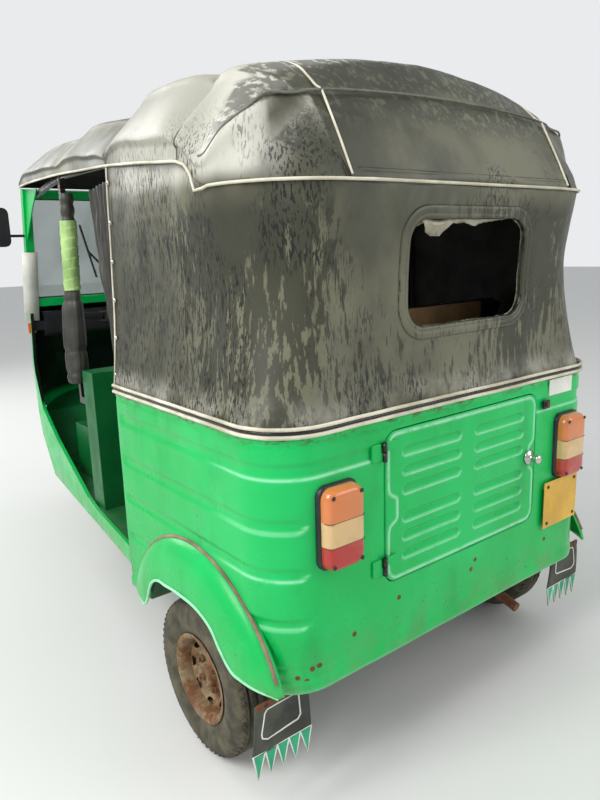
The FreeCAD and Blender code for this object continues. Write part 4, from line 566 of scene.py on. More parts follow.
# Hood
ROOF = (
    # along, half width, edge, side x, side z, shoulder x, shoulder z, crown
    (-672, 447, 1560, 447, 1574, 387, 1598, 1612),
    (-610, 452, 1562, 452, 1592, 370, 1642, 1668),
    (-390, 480, 1556, 480, 1588, 376, 1668, 1698),
    (0, 522, 1541, 522, 1576, 410, 1664, 1696),
    (250, 548, 1526, 548, 1566, 432, 1662, 1692),
    (510, 574, 1511, 574, 1556, 454, 1650, 1678),
    (620, 583, 1502, 585, 1556, 461, 1674, 1702),
    (740, 592, 1492, 595, 1552, 466, 1682, 1710),
    (860, 598, 1480, 600, 1545, 470, 1674, 1704),
    (950, 600, 1472, 598, 1536, 466, 1650, 1680),
    (1040, 600, 1420, 599, 1470, 474, 1656, 1704),
    (1113, 591, 1412, 582, 1521, 452, 1636, 1698),
    (1150, 578, 1412, 543, 1556, 420, 1616, 1664),
    (1171, 568, 1412, 520, 1568, 402, 1601, 1638),
    (1188, 558, 1412, 524, 1504, 388, 1594, 1612),
    (1240, 507, 1412, 478, 1447, 388, 1497, 1512),
    (1281, 400, 1409, 398, 1411, 388, 1413, 1414),
)
SEAM_ROWS = (0, 5, 9, 14, 16)
ROOF_LINES = 64
SEAM_SINK = 0.013
PUFF_PLACES = (-672, -560, -300, -60, 0, 130, 320, 470, 510, 620, 800, 930, 950, 1000, 1060, 1281)
PUFFS = (0, 0.016, 0.014, 0.004, 0, 0.013, 0.010, 0, 0, 0.014, 0.004, 0, 0, 0.006, 0.004, 0)


def curved(values, places, at):
    """Smooth value through the table's ones at uneven places."""
    last = len(places) - 1
    i = max(k for k in range(last) if places[k] <= at or k == 0)
    span = places[i + 1] - places[i]
    t = (at - places[i]) / span

    def slope(k):
        low, high = max(0, k - 1), min(last, k + 1)
        return (values[high] - values[low]) / (places[high] - places[low])

    a, b, m, n = values[i], values[i + 1], slope(i) * span, slope(i + 1) * span
    return a + m * t + (3 * (b - a) - 2 * m - n) * t * t + (2 * (a - b) + m + n) * t ** 3


def roof_row(y):
    """The roof's table at a place along it, with a crease at each seam."""
    for low, high in zip(SEAM_ROWS, SEAM_ROWS[1:]):
        if y <= ROOF[high][0] or high == SEAM_ROWS[-1]:
            rows = ROOF[low:high + 1]
            places = [row[0] for row in rows]
            return [curved([row[k] for row in rows], places, y) for k in range(1, 8)]


def roof_section(y):
    """Points over the roof from the left edge to the right one."""
    half, edge, side_x, side_z, shoulder_x, shoulder_z, crown = roof_row(y)
    mid = ((side_x * 0.36 + shoulder_x * 0.64), side_z + (shoulder_z - side_z) * 0.76)
    left = [(half, edge), ((half + side_x) / 2, (edge + side_z) / 2), (side_x, side_z), mid,
            (shoulder_x, shoulder_z), (shoulder_x / 2, shoulder_z + (crown - shoulder_z) * 0.75),
            (0, crown)]
    outline = left + [(-x, z) for x, z in reversed(left[:-1])]
    return [p / 1000 for p in spline([(x, y, z) for x, z in outline], ROOF_LINES)]


def seam_distance(y):
    return min(abs(y - ROOF[k][0]) for k in SEAM_ROWS[1:4]) / 1000


def section_point(y, number):
    """Point of the roof by its place along and its number round the section."""
    row = roof_section(y)
    low = min(int(number), ROOF_LINES - 2)
    return row[low].lerp(row[low + 1], number - low)


def roof_height(x, y):
    """Top of the roof's cloth at a place in plan."""
    row = roof_section(y * 1000)
    return max(a.z + (b.z - a.z) * (x - a.x) / (b.x - a.x) for a, b in zip(row, row[1:]) if b.x < x <= a.x)


def hood_top():
    """One puffed cloth over the bows, creased and puckered at its seams."""
    places = []
    for low, high in zip(SEAM_ROWS, SEAM_ROWS[1:]):
        start, end = ROOF[low][0], ROOF[high][0]
        steps = max(6, int((end - start) / 8))
        places += [start + (end - start) * k / steps for k in range(steps)]
    rows = []
    for y in places + [ROOF[-1][0]]:
        distance = seam_distance(y)
        crease = SEAM_SINK * exp(-distance / 0.022) - curved(PUFFS, PUFF_PLACES, y)
        near = exp(-(distance / 0.04) ** 2)
        rows.append([])
        for j, p in enumerate(roof_section(y)):
            pucker = near * 0.0045 * ripple(p.x * 42, y * 0.006, p.z * 42)
            sag = 0.007 * ripple(p.x * 4, p.y * 5, p.z * 4)
            fine = 0.003 * ripple(p.x * 13, p.y * 10, 7 + p.z * 9)
            inner = min(1.0, min(j, ROOF_LINES - 1 - j) / 8)
            rows[-1].append(p + xyz(0, 0, (pucker + sag + fine - crease) * inner))
    front = [xyz(p.x, p.y - 0.003, ROOF[0][2] / 1000) for p in rows[0]]
    made = walled(outward(woven("hood_top", [front] + rows, CLOTH)), CLOTH_THICK, lining=LINING)
    return put_on(made, "root", "hood_vinyl", "hood_roof")


SKIRT = (
    # height, half width at the door, half width at the corner, rear face, corner radius
    (906, 608, 608, 1269, 130),
    (1010, 596, 591, 1257, 158),
    (1110, 588, 579, 1256, 190),
    (1220, 584, 573, 1259, 212),
    (1320, 580, 581, 1268, 215),
    (1412, 578, 593, 1278, 215),
    (1530, 573, 595, 1279, 215),
)
VALANCE = ((520, 1511), (950, 1472), (1040, 1420), (1110, 1412))
SIDE_STEPS, CORNER_STEPS, REAR_STEPS = 50, 24, 46
HALF_STEPS = SIDE_STEPS + CORNER_STEPS + REAR_STEPS
SKIRT_ROWS = 84
SKIRT_HEM, SKIRT_TUCK = 914, 26
HOOD_REAR = 1.2845
CLOTH_THICK = 0.004
WINDOW = (0.220, 1.092, 1.340, 0.056)
WINDOW_X = -0.008


def skirt_place(number, z):
    """Point of the skirt's left half by its number along it and its height."""
    places = [row[0] for row in SKIRT]
    front_half, half, rear, corner = (curved([row[k] for row in SKIRT], places, z) for k in range(1, 5))
    side_end = rear - corner
    if number <= SIDE_STEPS:
        share = number / SIDE_STEPS
        return xyz(front_half + (half - front_half) * share, 520 + (side_end - 520) * share, z) / 1000
    if number <= SIDE_STEPS + CORNER_STEPS:
        angle = pi / 2 * (number - SIDE_STEPS) / CORNER_STEPS
        return xyz(half - corner + corner * cos(angle), side_end + corner * sin(angle), z) / 1000
    share = (number - SIDE_STEPS - CORNER_STEPS) / REAR_STEPS
    return xyz((half - corner) * (1 - share), rear, z) / 1000


def valance_height(y):
    if y <= VALANCE[0][0]:
        return VALANCE[0][1]
    for (y0, z0), (y1, z1) in zip(VALANCE, VALANCE[1:]):
        if y <= y1:
            return z0 + (z1 - z0) * (y - y0) / (y1 - y0)
    return VALANCE[-1][1]


def window_depth(p):
    """How far inside the torn-out window's line a place is."""
    return rounded_depth(p.x - WINDOW_X, p.z, *WINDOW) if p.y >= 1.2 else -1.0


def to_window(p):
    """The nearest place on the window's line."""
    step = 0.0005
    depth = window_depth(p)
    slope_x = (window_depth(p + xyz(step, 0, 0)) - depth) / step
    slope_z = (window_depth(p + xyz(0, 0, step)) - depth) / step
    size = max(slope_x ** 2 + slope_z ** 2, 0.1)
    return p - xyz(slope_x, 0, slope_z) * (depth / size)


def cloth_folds(p):
    """How far the skirt's cloth stands out or in at a place."""
    along = p.y if abs(p.x) > 0.5 else 1.9 - abs(p.x)
    out = 0.005 * ripple(p.x * 6, p.y * 6, p.z * 2.2)
    out += 0.0028 * ripple(p.x * 17, p.y * 17, p.z * 4 + 5)
    hem = exp(-((p.z - 0.914) / 0.05) ** 2)
    out += 0.0016 * hem * sin(along * 60 + 3 * ripple(along * 4, 0, 0))
    eave = exp(-((p.z - 1.40) / 0.04) ** 2)
    out += 0.0014 * eave * sin(along * 47 + 4 * ripple(along * 5, 2, 0))
    return out


def hood_back():
    """Side curtains and back in one cloth, with the window's hole."""
    def cloth(level, number):
        top = valance_height(skirt_place(number, SKIRT_HEM).y * 1000) + SKIRT_TUCK
        return skirt_place(number, SKIRT_HEM + (top - SKIRT_HEM) * level / SKIRT_ROWS)

    rows = []
    for level, left in enumerate(grid(SKIRT_ROWS + 1, HALF_STEPS + 1, cloth)):
        row = left + mirrored(reversed(left[:-1]))
        for j, p in enumerate(row):
            way = (row[min(j + 1, len(row) - 1)] - row[max(j - 1, 0)]).normalized()
            edge = min(1.0, level / 4, (SKIRT_ROWS - level) / 4)
            hidden = share_of((p.z * 1000 - valance_height(p.y * 1000)) / SKIRT_TUCK)
            row[j] = p + xyz(way.y, -way.x, 0) * (cloth_folds(p) * edge - 0.015 * min(1.0, 1.5 * hidden))
        rows.append(row)
    made = trimmed(outward(woven("hood_back", rows, CLOTH)), window_depth, to_window)
    walled(made, CLOTH_THICK, lining=LINING)
    return put_on(made, "root", "hood_vinyl", "hood_skirt")


def hood_piping():
    """Cream piping along the eave and the roof's seams."""
    edge = [roof_section(y)[0] + xyz(0.004, 0, 0.001) for y in range(-670, 950, 40)]
    drop = ((950, 1472), (985, 1462), (1008, 1440), (1022, 1406))
    edge += [xyz(0.604, y / 1000, z / 1000) for y, z in drop]
    corner = [xyz(0.598, 1.046, 1.409)]
    angles = map(radians, range(0, 91, 9))
    corner += [xyz(0.378 + 0.219 * cos(a), 1.065 + 0.219 * sin(a), 1.413) for a in angles]
    back = [xyz(x / 1000, HOOD_REAR, 1.414) for x in range(340, -341, -40)]
    pieces = [tube("eave", edge + corner + back + mirrored(reversed(edge + corner)), 0.0034, PIPING)]
    for side in (1, -1):
        line = [xyz(0.39 * side, y / 1000, roof_height(0.39, y / 1000) + 0.003) for y in range(958, 1279, 8)]
        front = [skirt_place(0, z) + xyz(0.003, -0.001, 0) for z in range(918, 1509, 14)]
        pieces += [tube("seam", line, 0.0026, PIPING),
                   tube("edge", [xyz(p.x * side, p.y, p.z) for p in front], 0.0027, PIPING)]
    return put_on(joined("hood_piping", pieces), "root", "pale_trim")


def seam_cords():
    """The cloth's own cords: over the bows, round the quarter panels and over the tail."""
    arch = ((1037, 10.5), (1150, 10.5), (1163, 11.0), (1171, 12.0), (1176, 14.5), (1181, 18.0), (1188, 21.0),
            (1188, 31.0))
    steps = 8
    left = [section_point(y + (next_y - y) * k / steps, number + (next_number - number) * k / steps)
            for (y, number), (next_y, next_number) in zip(arch, arch[1:]) for k in range(steps)]
    whole = [p + xyz(0, 0.0010, 0.0012) for p in left + mirrored(reversed(left))]
    pieces = [tube("tail", spline(whole, 200), 0.0030, CORD)]
    for y in (510, 950):
        bow = [section_point(y, k / 2) + xyz(0, 0, 0.0015 - SEAM_SINK * min(1.0, min(k / 2, 63 - k / 2) / 8))
               for k in range(2, 125)]
        pieces.append(tube("bow", bow, 0.0026, CORD))
    return put_on(joined("hood_cords", pieces), "root", "hood_vinyl")


def back_cloth(x, z, out=0.0):
    """Place on the hood's back at a place across and up."""
    p = xyz(x, skirt_place(HALF_STEPS, z * 1000).y, z)
    return p + xyz(0, cloth_folds(p) + out, 0)


def evenly(points, count):
    """Points at even steps along a closed line."""
    points = [Vector(p) for p in points]
    points.append(points[0])
    runs = [(b - a).length for a, b in zip(points, points[1:])]
    total, line, i, gone = sum(runs), [], 0, 0.0
    for number in range(count):
        want = total * number / count
        while gone + runs[i] < want:
            gone += runs[i]
            i += 1
        line.append(points[i].lerp(points[i + 1], (want - gone) / runs[i]))
    return line


def window_line(grow, count=200):
    """The window's outline grown by an amount, as (across, up) pairs."""
    half, low, high, corner = WINDOW
    line = []
    corners = ((1, high - corner), (-1, high - corner), (-1, low + corner), (1, low + corner))
    for number, (a, z) in enumerate(corners):
        for angle in (radians(90 * number + 7.5 * k) for k in range(13)):
            line.append((WINDOW_X + a * (half - corner) + (corner + grow) * cos(angle),
                         z + (corner + grow) * sin(angle), 0))
    return evenly(line, count)


def window_welt():
    """Sewn welt round the torn-out window."""
    lips = ((-0.0020, -0.013), (-0.0040, -0.004), (-0.0030, 0.0025), (0.0010, 0.0050), (0.0060, 0.0046),
            (0.0075, 0.0036), (0.0090, 0.0046), (0.0200, 0.0044), (0.0250, 0.0036), (0.0275, 0.0004))
    rows = [[back_cloth(p.x, p.y, out) for p in window_line(grow)] for grow, out in lips]
    made = outward(woven("window_welt", rows, CLOTH, round_rows=True))
    walled(made, 0.0015)
    return put_on(made, "root", "hood_vinyl")


def window_rags():
    """What is left of the torn pane along the welt, and the strip that hangs from its top corner."""
    rows = [[], [], []]
    for k, (a, b) in enumerate(zip(window_line(0.004), window_line(-0.001))):
        top = share_of((b.y - 1.31) / 0.02) * share_of((b.x + 0.16) / 0.1)
        torn = 0.0015 + 0.004 * abs(ripple(k * 0.31, 0, 0)) + top * (0.012 + 0.010 * ripple(k * 0.13, 9, 0))
        away = (xyz(0, 1.218, 0) - b).normalized() * torn
        curl = 0.006 * ripple(k * 0.11, 5, 0)
        outs = (-0.008, -0.010 + curl * 0.4, -0.012 + curl)
        for row, p, out in zip(rows, (a, b + away * 0.5, b + away), outs):
            row.append(back_cloth(p.x, p.y, out))
    ring = woven("rag_ring", rows, FILM, round_rows=True)
    levels = ((0.182, 0.050, 1.337, 1.266), (0.176, 0.070, 1.327, 1.272), (0.168, 0.086, 1.317, 1.268),
              (0.158, 0.100, 1.308, 1.262), (0.140, 0.118, 1.299, 1.266))

    def hanging(level, k):
        left, right, z, y = levels[level]
        return xyz(left + (right - left) * k / 8, y + 0.004 * sin(k * 1.3 + level),
                   z + 0.004 * ripple(k, level, 2))

    made = joined("window_rags", [ring, woven("rag_strip", grid(5, 9, hanging), FILM)])
    return put_on(walled(made, 0.0012, 0.0), "root", "hood_vinyl")


def bunched_curtain(side, name):
    """Dark curtain drawn back in folds to the side curtain's edge, wide at its rail and narrow below."""
    start, end = xyz(0.495, 0.205, 0), xyz(0.566, 0.502, 0)
    across = (end - start).cross(xyz(0, 0, 1)).normalized()

    low, high, steps = 0.925, 1.475, 72

    def fold(level, k):
        share, t = level / steps, k / steps
        z = low + (high - low) * share
        p = end.lerp(start, (1 - t) * (0.30 + 0.70 * share ** 0.8))
        wave = sin(t * 31 + 2.2 * ripple(t * 3, z * 5, side))
        crumple = ripple(t * 8, z * 13, 4 + side)
        p = p + across * (0.015 * wave + 0.011 * crumple) * (0.75 - 0.15 * share)
        return xyz(side * min(p.x, 0.585), p.y, z + 0.006 * crumple)

    made = walled(outward(woven(name, grid(steps + 1, steps + 1, fold), OLD_CURTAIN)), 0.002, 0.0)
    return put_on(made, "root", "curtain_vinyl")


def beading():
    """The double cream bead along the joint of hood and tub, with a dark strip between."""
    pieces = []
    beads = ((0.9055, 0.0046, PIPING), (0.9225, 0.0042, PIPING), (0.9140, 0.0046, BLACK_STEEL))
    for z, radius, finish in beads:
        reach = 0.0015 if finish is BLACK_STEEL else 0.0050
        line = [xyz(TUB_HALF + reach, y / 1000, z) for y in range(521, 1142, 30)]
        turn = TUB_CORNER + reach
        line += [xyz(TUB_TURN_X + turn * cos(a), TUB_TURN_Y + turn * sin(a), z)
                 for a in map(radians, range(0, 91, 5))]
        line += [xyz(x / 1000, TUB_REAR + reach, z) for x in range(440, 19, -30)]
        whole = line + [xyz(0, TUB_REAR + reach, z)] + mirrored(reversed(line))
        for p in whole:
            p.z += 0.0014 * ripple(p.x * 5, p.y * 5, 3) + 0.0006 * ripple(p.x * 30, p.y * 30, z * 9)
        pieces.append(tube("bead", whole, radius, finish, sides=5))
    return put_on(joined("hood_beading", pieces), "root", "pale_trim", "trim_beading")


def cushion(name, node, crown, channels, along, cap):
    """A sewn pad that swells from its CAD solid by cloth simulation, then gets its channels."""
    low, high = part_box(node)
    centre = (low + high) / 2
    work = bmesh.new()
    work.from_mesh(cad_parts[node].data)
    bmesh.ops.remove_doubles(work, verts=work.verts, dist=0.0002)
    for v in work.verts:
        v.co = centre + (v.co - centre) * 0.975
    mesh = bpy.data.meshes.new(name)
    work.to_mesh(mesh)
    work.free()
    mesh.materials.append(SEAT_VINYL)
    made = placed(name, mesh)
    remesh = made.modifiers.new("cells", "REMESH")
    remesh.mode, remesh.voxel_size = "VOXEL", 0.0102
    settled(made)
    rest = [v.co.copy() for v in made.data.vertices]
    cloth = made.modifiers.new("cloth", "CLOTH").settings
    cloth.use_pressure, cloth.uniform_pressure_force = True, 3.0
    cloth.effector_weights.gravity = 0
    cloth.tension_stiffness, cloth.bending_stiffness = 15, 0.5
    for number in range(1, 15):
        bpy.context.scene.frame_set(number)
    settled(made)
    bpy.context.scene.frame_set(1)
    for v, start in zip(made.data.vertices, rest):
        move = v.co - start
        if move.length > cap:
            move *= cap / move.length
        p = start + move
        for k in range(3):
            p[k] = max(low[k] + 0.001, min(high[k] + (0.012 if crown[k] else 0.004), p[k]))
        size = high[along] - low[along]
        away = min(abs((p[along] - low[along]) / size - c) for c in channels) * size
        top = share_of((p - centre).dot(Vector(crown)) / 0.02)
        v.co = p - Vector(crown) * (0.007 * exp(-(away / 0.006) ** 2) * top)
    soft = smoothed(made).modifiers.new("soft", "SUBSURF")
    soft.levels = soft.render_levels = 1
    return put_on(made, "root", "seat_vinyl", node)


def roll_middle(side, z):
    """The roll's middle: it leans a little on its post."""
    lean = (z - 1.13) / 0.30
    return xyz(side * (ROLL_X - 0.008 * lean), ROLL_Y + 0.009 * lean, z)


def curtain_roll(side, name):
    """Rolled curtain round its post: slim and taped above, lumpy and loose below, tied in places."""
    ties = (0.872, 0.952, 1.128, 1.412, 1.452)
    low, high, levels, steps = 0.834, 1.488, 150, 44

    def skin(level, k):
        z = low + (high - low) * level / levels
        waist = sum(exp(-((z - t) / 0.009) ** 2) for t in ties)
        slim = share_of((z - 1.10) / 0.07)
        body = 0.036 - 0.012 * slim - 0.004 * waist + 0.003 * exp(-((z - 0.99) / 0.05) ** 2)
        end = min(1.0, level / 4, (levels - level) / 4)
        x, y = cos(2 * pi * k / steps), sin(2 * pi * k / steps)
        lumps = 0.005 * ripple(x * 1.2, y * 1.2, z * 7 + side)
        lumps += 0.003 * ripple(x * 4, y * 4, z * 3 + 5 * side)
        lap = (k / steps - 0.5) * 0.004 * (1 - slim)
        radius = body * (0.88 + 0.12 * end) + lumps * (1 - 0.6 * slim) + lap
        return roll_middle(side, z) + xyz(radius * x, radius * y, 0)

    rows = grid(levels + 1, steps, skin)
    ends = [[sum(row, Vector()) / steps] * steps for row in (rows[0], rows[-1])]
    rows = [ends[0], *rows, ends[1]]
    return outward(woven(name, rows, ROLL_VINYL, round_rows=True))


def tape_wrap(side, name):
    """Glossy green tape wound up the slim part of the roll, each turn lapping the last."""
    low, high, width, levels, steps = 1.163, 1.398, 0.034, 120, 40

    def skin(level, k):
        z = low + (high - low) * level / levels
        x, y = cos(2 * pi * k / steps), sin(2 * pi * k / steps)
        turn = ((z - low) / width - side * k / steps) % 1.0
        radius = 0.0270 + 0.0022 * turn + 0.0012 * ripple(x * 3, y * 3, z * 30)
        return roll_middle(side, z) + xyz(radius * x, radius * y, 0)

    made = outward(woven(name, grid(levels + 1, steps, skin), WRAP, round_rows=True))
    return put_on(walled(made, 0.002), "root", "curtain_vinyl")


# Tail tub, its door and what is on them
SWAGES = (
    # lower edge, upper edge, how far from the middle it ends on the rear face
    (0.812, 0.846, 0.290),
    (0.692, 0.722, 0.520),
    (0.582, 0.610, 0.520),
    (0.468, 0.492, 0.520),
)
SWAGE_DEPTH = 0.0042
DOOR = (0.296, 0.498, 0.869, 0.034)
DOOR_GAP = 0.003
ARCH_RADIUS = 0.300
TUB_ROWS = 118
TUB_STEPS = (56, 18, 60)
HINGES = (0.548, 0.828)
HINGE_X, HINGE_Y = 0.305, 1.280
LAMP_X, LAMP_Z = 0.447, 0.695


def tub_place(number, z):
    """Point of the tub's left half by its number along it, and the way out there."""
    side, turn, rear = TUB_STEPS
    end = TUB_REAR - TUB_CORNER
    if number <= side:
        return xyz(TUB_HALF, TUB_FRONT + (end - TUB_FRONT) * number / side, z), xyz(1, 0, 0)
    if number <= side + turn:
        angle = pi / 2 * (number - side) / turn
        way = xyz(cos(angle), sin(angle), 0)
        return xyz(TUB_HALF - TUB_CORNER, end, z) + way * TUB_CORNER, way
    share = (number - side - turn) / rear
    return xyz((TUB_HALF - TUB_CORNER) * (1 - share), TUB_REAR, z), xyz(0, 1, 0)


def swage(p):
    """Depth of the pressed swages at a place, and how near their lower lip it is."""
    depth = lip = 0.0
    for low, high, end in SWAGES:
        middle, half = (low + high) / 2, (high - low) / 2
        if abs(p.z - middle) > half + 0.01:
            continue
        beyond = max(0.0, end + 0.02 - abs(p.x)) if p.y > TUB_REAR - 0.001 - TUB_CORNER * 0.2 else 0.0
        beyond = max(beyond, TUB_FRONT + 0.035 - p.y)
        away = hypot(max(0.0, abs(p.z - middle)), beyond)
        inside = half - away
        depth += SWAGE_DEPTH * smooth_step(inside, -0.002, 0.006)
        if p.z < middle:
            lip = max(lip, exp(-(inside / 0.0028) ** 2))
    return depth, lip


def tub_hole(p):
    """How far inside the door's opening or the wheel arches a place is."""
    half, low, high, corner = DOOR
    deep = -1.0
    if p.y > TUB_REAR - 0.02:
        deep = rounded_depth(p.x, p.z, half + DOOR_GAP, low - DOOR_GAP, high + DOOR_GAP, corner + DOOR_GAP)
    arch = ARCH_RADIUS - hypot(p.y - REAR_AXLE_Y, p.z - AXLE_Z)
    return max(deep, arch if abs(p.x) > 0.5 and p.y < TUB_REAR - 0.03 else -1.0)


def to_edge(depth):
    """A mover that draws places onto the line where a depth is 0."""
    def moved(p):
        step, now = 0.0004, depth(p)
        ways = [Vector([step * (k == n) for n in range(3)]) for k in range(3)]
        slope = Vector([(depth(p + way) - now) / step for way in ways])
        return p - slope * (now / max(slope.length_squared, 0.1))
    return moved


def knuckle(low):
    """Half of a hinge's barrel, on the door's axis."""
    high = low + 0.021
    profile = ((low, 0.0), (low, 0.006), (high, 0.006), (high, 0.0))
    return outward(lathe("knuckle", profile, xyz(HINGE_X, HINGE_Y, 0), BLACK_STEEL, 16, "Z"))


def tail_tub():
    """The tub's skin, with swages, hem, dents, door opening and wheel arches."""
    half_count = sum(TUB_STEPS)

    def skin(level, number):
        z = TUB_BOTTOM + (TUB_TOP - TUB_BOTTOM) * level / TUB_ROWS
        left = number <= half_count
        p, way = tub_place(number if left else 2 * half_count - number, z)
        pressed = swage(p)[0] + 0.003 * (z > 0.905)
        if not left:
            p.x, way.x = -p.x, -way.x
        dent = 0.0022 * noise.noise(p * 4.5) + 0.0009 * noise.noise(p * 14)
        hem = 0.0030 * smooth_step(TUB_BOTTOM + 0.030 - z, 0.0, 0.004)
        lines = 0.0018 * exp(-((z - 0.372) / 0.0032) ** 2) + 0.0022 * exp(-((z - 0.886) / 0.003) ** 2)
        return p + way * (dent + hem - lines - pressed)

    # Pale share: a painted highlight on the swages' lower lips towards the tail corner, and a pale line along
    # the bottom edge.
    def wear(p):
        return (0.8 * swage(p)[1] * smooth_step(p.y, 0.98, 1.16)
                + 0.5 * exp(-((p.z - TUB_BOTTOM) / 0.004) ** 2))

    made = outward(woven("tail_tub", grid(TUB_ROWS + 1, 2 * half_count + 1, skin), ENAMEL))
    rub_and_highlight(trimmed(made, tub_hole, to_edge(tub_hole)), wear)
    walled(made, 0.004, lining=SHADED_INNER)
    for z in HINGES:
        low, high = z - 0.022, z - 0.001
        leaf = block("leaf", (0.313, TUB_REAR - 0.002, z - 0.020), (0.341, TUB_REAR + 0.005, z + 0.020),
                     ENAMEL)
        barrel = knuckle(low)
        tongue = block("tongue", (HINGE_X, 1.275, low), (0.316, 1.278, high), ENAMEL)
        put_on(joined("hinge_leaf", [leaf, barrel, tongue]), "root", "body_paint")
    return put_on(made, "root", "body_paint", "rear_tub")


LOUVRE = (0.106, 0.012)
LOUVRES = [(x, z + k * 0.047) for x in (-0.134, 0.134) for z in (0.602, 0.766) for k in (-1, 0, 1)]
JOGS = (
    # side, height of its middle, half height, depth
    (1, 0.680, 0.034, 0.028),
    (-1, 0.692, 0.036, 0.022),
)


def door_bead(p):
    """How near the door's raised bead a place is, from 0 to 1."""
    half, low, high, corner = DOOR
    away = abs(rounded_depth(p.x, p.z, half - 0.008, low + 0.008, high - 0.008, corner - 0.004))
    for side, middle, tall, deep in JOGS:
        if side * p.x > 0.2 and abs(p.z - middle) < 2 * tall:
            t = (p.z - middle) / tall
            line = side * (half - 0.008 - deep / (1 + t ** 8))
            slope = deep * 8 * t ** 7 / (1 + t ** 8) ** 2 / tall
            away = abs(p.x - line) / sqrt(1 + slope * slope)
    return exp(-(away / 0.0036) ** 2)


def louvre(p):
    """Depth of the pressed louvres at a place, and how near their lower lip it is."""
    half, tall = LOUVRE
    for x, z in LOUVRES:
        if abs(p.x - x) < half + 0.004 and abs(p.z - z) < tall + 0.004:
            across = max(0.0, abs(p.x - x) - (half - tall))
            inside = tall - hypot(across, p.z - z)
            drop = share_of((p.z - z + tall) / (2 * tall))
            depth = 0.0075 * smooth_step(inside, -0.001, 0.004) * (0.15 + 0.85 * drop)
            lip = exp(-(inside / 0.0022) ** 2) * (1.0 if p.z < z else 0.25 * (across > 0))
            return depth, lip
    return 0.0, 0.0


def door_skin():
    """The engine door with its louvres, its bead and its half of the hinges."""
    half, low, high, corner = DOOR
    across, up = 172, 110

    def skin(level, k):
        p = xyz(half - 2 * half * k / across, TUB_REAR + 0.001, low + (high - low) * level / up)
        depth, lip = louvre(p)
        dent = 0.0014 * ripple(p.x * 6, 0, p.z * 6)
        return p + xyz(0, dent + 0.0034 * door_bead(p) + 0.0012 * lip - depth, 0)

    def outside(p):
        return -rounded_depth(p.x, p.z, half, low, high, corner)

    made = outward(woven("door_skin", grid(up + 1, across + 1, skin), ENAMEL))
    trimmed(made, outside, to_edge(outside))
    flanged(made, (0, -0.010, 0))
    # Pale on the bead, and on the louvres' lower lips as a painted highlight.
    rub_and_highlight(made, lambda p: min(1.0, door_bead(p) + 0.75 * louvre(p)[1]) * (p.y > TUB_REAR - 0.004))
    put_on(walled(made, 0.0015, lining=SHADED_INNER), "engine_lid", "body_paint", "engine_door")
    hinges = []
    for z in HINGES:
        strap = ((0.268, TUB_REAR + 0.004, z + 0.001), (0.303, TUB_REAR + 0.008, z + 0.022))
        hinges += [knuckle(z + 0.001), block("strap", *strap, ENAMEL, 0.0008)]
    return put_on(joined("door_hinges", hinges), "engine_lid", "body_paint")


def door_knob():
    """Turned chrome knob on its rose."""
    profile = ((0.001, 0.0), (0.001, 0.0215), (0.005, 0.0220), (0.008, 0.0195), (0.010, 0.0130),
               (0.013, 0.0100), (0.022, 0.0085), (0.025, 0.0105), (0.028, 0.0125), (0.034, 0.0130),
               (0.0375, 0.0110), (0.0395, 0.0060), (0.0400, 0.0))
    made = outward(lathe("door_knob", profile, xyz(-0.268, TUB_REAR, 0.690), CHROME, 40, "Y"))
    return put_on(made, "engine_lid", "chrome_trim", "door_handle")


def lamp_shell(name, middle, loops, material):
    """Rounded rectangles about a lamp's middle, each (half width, half height, corner, distance back)."""
    rows = []
    for half_x, half_z, corner, y in loops:
        rows.append([])
        for number, (a, b) in enumerate(((1, 1), (-1, 1), (-1, -1), (1, -1))):
            for angle in (radians(90 * number + 11.25 * k) for k in range(9)):
                rows[-1].append(xyz(middle + a * (half_x - corner) + corner * cos(angle), TUB_REAR + y,
                                    LAMP_Z + b * (half_z - corner) + corner * sin(angle)))
    return outward(woven(name, rows, material, round_rows=True))


def tail_lamps():
    """Deep moulded lenses with rounded edges, parted by grooves, on rubber bases."""
    lens = ((0.0525, 0.0925, 0.024, 0.0100), (0.0530, 0.0930, 0.025, 0.020), (0.0515, 0.0915, 0.025, 0.030),
            (0.0480, 0.0880, 0.023, 0.0362), (0.0440, 0.0840, 0.020, 0.0393), (0.038, 0.078, 0.014, 0.0404),
            (0.020, 0.050, 0.008, 0.0404), (0.0004, 0.0008, 0.0002, 0.0404))
    base = ((0.057, 0.097, 0.024, -0.001), (0.057, 0.097, 0.024, 0.007), (0.055, 0.095, 0.023, 0.0110),
            (0.052, 0.092, 0.020, 0.0130), (0.010, 0.030, 0.005, 0.0125))
    groove = ((0.0522, 0.016), (0.0522, 0.031), (0.0495, 0.0378), (0.045, 0.0402))
    groove = [(-x, y) for x, y in groove] + list(reversed(groove))
    lenses, bases = [], []
    for middle in (LAMP_X, -LAMP_X):
        lenses.append(lamp_shell("lens", middle, lens, LENS))
        bases.append(lamp_shell("base", middle, base, BLACK_PLASTIC))
        for z in LENS_BANDS:
            line = [xyz(middle + x, TUB_REAR + y, z) for x, y in groove]
            bases.append(tube("groove", line, 0.0007, BLACK_PLASTIC))
    put_on(joined("lamp_lenses", lenses), "root", "lamp_plastic", "tail_lamp_lenses")
    return put_on(joined("lamp_bases", bases), "root", "black_plastic", "tail_lamp_bases")


LIP = (
    # angle from the rear about the axle, radius, across
    (20.4, 0.3650, 0.613), (24.0, 0.3260, 0.634), (27.5, 0.2980, 0.645), (33.2, 0.2600, 0.650),
    (46.0, 0.2430, 0.650), (57.8, 0.2500, 0.650), (69.4, 0.2490, 0.650), (91.0, 0.2410, 0.650),
    (110.4, 0.2520, 0.650), (120.0, 0.2690, 0.650), (129.3, 0.2740, 0.650), (146.2, 0.2600, 0.648),
    (155.0, 0.2740, 0.644), (159.5, 0.3080, 0.632), (163.5, 0.3620, 0.613),
)
WING_RADIUS, WING_STEPS = 0.372, 120


